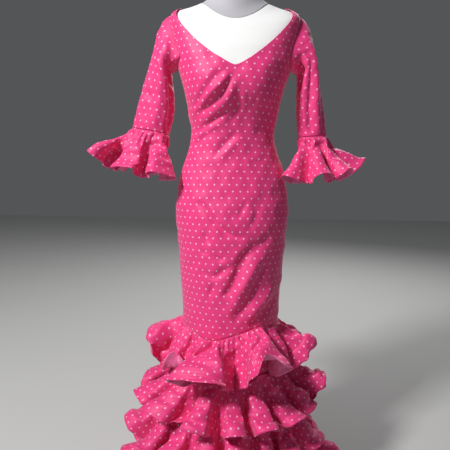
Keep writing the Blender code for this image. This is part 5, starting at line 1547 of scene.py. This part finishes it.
def make_stage():
    floor = bpy.data.meshes.new("floor")
    corner_signs = ((-1, -1), (1, -1), (1, 1), (-1, 1))
    floor.from_pydata([(x * FLOOR_REACH, y * FLOOR_REACH, 0) for x, y in corner_signs],
                      [], [(0, 1, 2, 3)])
    plane = linked("floor", floor)
    made, shader = new_material("pale_floor")
    shader.inputs["Base Color"].default_value = (0.52, 0.52, 0.51, 1.0)
    shader.inputs["Roughness"].default_value = 0.8
    floor.materials.append(made)

    world = bpy.data.worlds.new("studio")
    world.use_nodes = True
    world.node_tree.nodes["Background"].inputs["Color"].default_value = (0.93, 0.96, 1.0, 1.0)
    world.node_tree.nodes["Background"].inputs["Strength"].default_value = WORLD_STRENGTH
    bpy.context.scene.world = world
    bpy.context.scene.view_settings.view_transform = "Standard"

    for lamp in LAMPS:
        data = bpy.data.lights.new(lamp.name, "AREA")
        data.size = lamp.size
        data.energy = lamp.power
        obj = linked(lamp.name, data)
        obj.location = lamp.at
        way = Vector(lamp.aim) - Vector(lamp.at)
        obj.rotation_euler = way.to_track_quat("-Z", "Y").to_euler()

    pitch, roll = math.radians(CAMERA_PITCH), math.radians(CAMERA_ROLL)
    data = bpy.data.cameras.new("camera")
    data.sensor_width = 36.0
    data.lens = CAMERA_LENS
    camera = linked("camera", data)
    look = Vector((0.0, math.cos(pitch), -math.sin(pitch))).to_track_quat("-Z", "Y")
    camera.matrix_world = (Matrix.Translation(CAMERA_AT) @ look.to_matrix().to_4x4()
                           @ Matrix.Rotation(roll, 4, "Z"))
    bpy.context.scene.camera = camera


# ---------------------------------------------------------------- the add-on
class FlamencoDressSettings(bpy.types.PropertyGroup):
    dot_diameter: FloatProperty(name="Dot diameter", description="Width of a printed dot",
                                default=0.0047, min=0.001, unit="LENGTH")
    dot_spacing: FloatProperty(name="Dot spacing", description="Between dots of one row",
                               default=0.0202, min=0.005, unit="LENGTH")
    cloth_thickness: FloatProperty(name="Cloth", description="Thickness of the cloth",
                                   default=CLOTH, min=0.0002, unit="LENGTH")
    cloth_colour: FloatVectorProperty(name="Cloth colour", description="Right side of the cloth",
                                      default=(0.80, 0.040, 0.21), size=3, subtype="COLOR")
    reverse_colour: FloatVectorProperty(name="Reverse", description="Wrong side of the cloth",
                                        default=(0.80, 0.17, 0.37), size=3, subtype="COLOR")
    dot_colour: FloatVectorProperty(name="Dots", description="Colour of the dots",
                                    default=(0.90, 0.47, 0.65), size=3, subtype="COLOR")
    form_colour: FloatVectorProperty(name="Form", description="The form's shell",
                                     default=(0.72, 0.72, 0.71), size=3, subtype="COLOR")
    # Darker grey of the neck block: painted shade for the shadow that falls on the neck.
    neck_shade_colour: FloatVectorProperty(name="Neck", description="The form's neck block",
                                     default=(0.42, 0.41, 0.45), size=3, subtype="COLOR")
    zip_colour: FloatVectorProperty(name="Zip", description="Coils, slider and pull",
                                    default=(0.62, 0.035, 0.17), size=3, subtype="COLOR")
    metal_colour: FloatVectorProperty(name="Stand", description="Metal of the stand",
                                      default=(0.62, 0.62, 0.64), size=3, subtype="COLOR")


def sew_sheath(settings):
    make_sheath()
    make_under_skirt()


def set_in_sleeves(settings):
    for name in SIDE_OF:
        make_sleeve(name)
    make_cuffs()


def raise_form(settings):
    make_form(settings)
    make_stand(settings)


def operator(name, label, says, work):
    """An operator of the panel that does one stage of the work."""
    def execute(self, context):
        work(context.scene.flamenco_dress)
        return {"FINISHED"}
    return type("DRESS_OT_" + name, (bpy.types.Operator,),
                {"__doc__": says, "bl_idname": "dress." + name, "bl_label": label,
                 "execute": execute})


OPERATORS = (
    operator("form", "Dress form", "Mould the dress form and set it on its stand", raise_form),
    operator("sheath", "Sheath", "Sew the front and the two backs", sew_sheath),
    operator("sleeves", "Sleeves", "Set in the two sleeves and their cuff flounces",
             set_in_sleeves),
    operator("tiers", "Tiers", "Gather the five tiers onto the skirt", lambda _: make_tiers()),
    operator("zip", "Zip", "Set in the zip with its slider and pull", make_zip),
    operator("stage", "Stage", "Set up the floor, the lights and the camera",
             lambda _: make_stage()),
)


class DRESS_PT_panel(bpy.types.Panel):
    bl_idname = "DRESS_PT_panel"
    bl_label = "Flamenco Dress"
    bl_space_type = "VIEW_3D"
    bl_region_type = "UI"
    bl_category = "Dress"

    def draw(self, context):
        for field in FlamencoDressSettings.__annotations__:
            self.layout.prop(context.scene.flamenco_dress, field)
        for stage in OPERATORS:
            self.layout.operator(stage.bl_idname)


CLASSES = (FlamencoDressSettings,) + OPERATORS + (DRESS_PT_panel,)


def register():
    for cls in CLASSES:
        bpy.utils.register_class(cls)
    bpy.types.Scene.flamenco_dress = PointerProperty(type=FlamencoDressSettings)


def unregister():
    del bpy.types.Scene.flamenco_dress
    for cls in reversed(CLASSES):
        bpy.utils.unregister_class(cls)


def main():
    register()
    for stage in OPERATORS:
        getattr(bpy.ops.dress, stage.bl_idname.split(".")[1])()


if __name__ == "__main__":
    main()
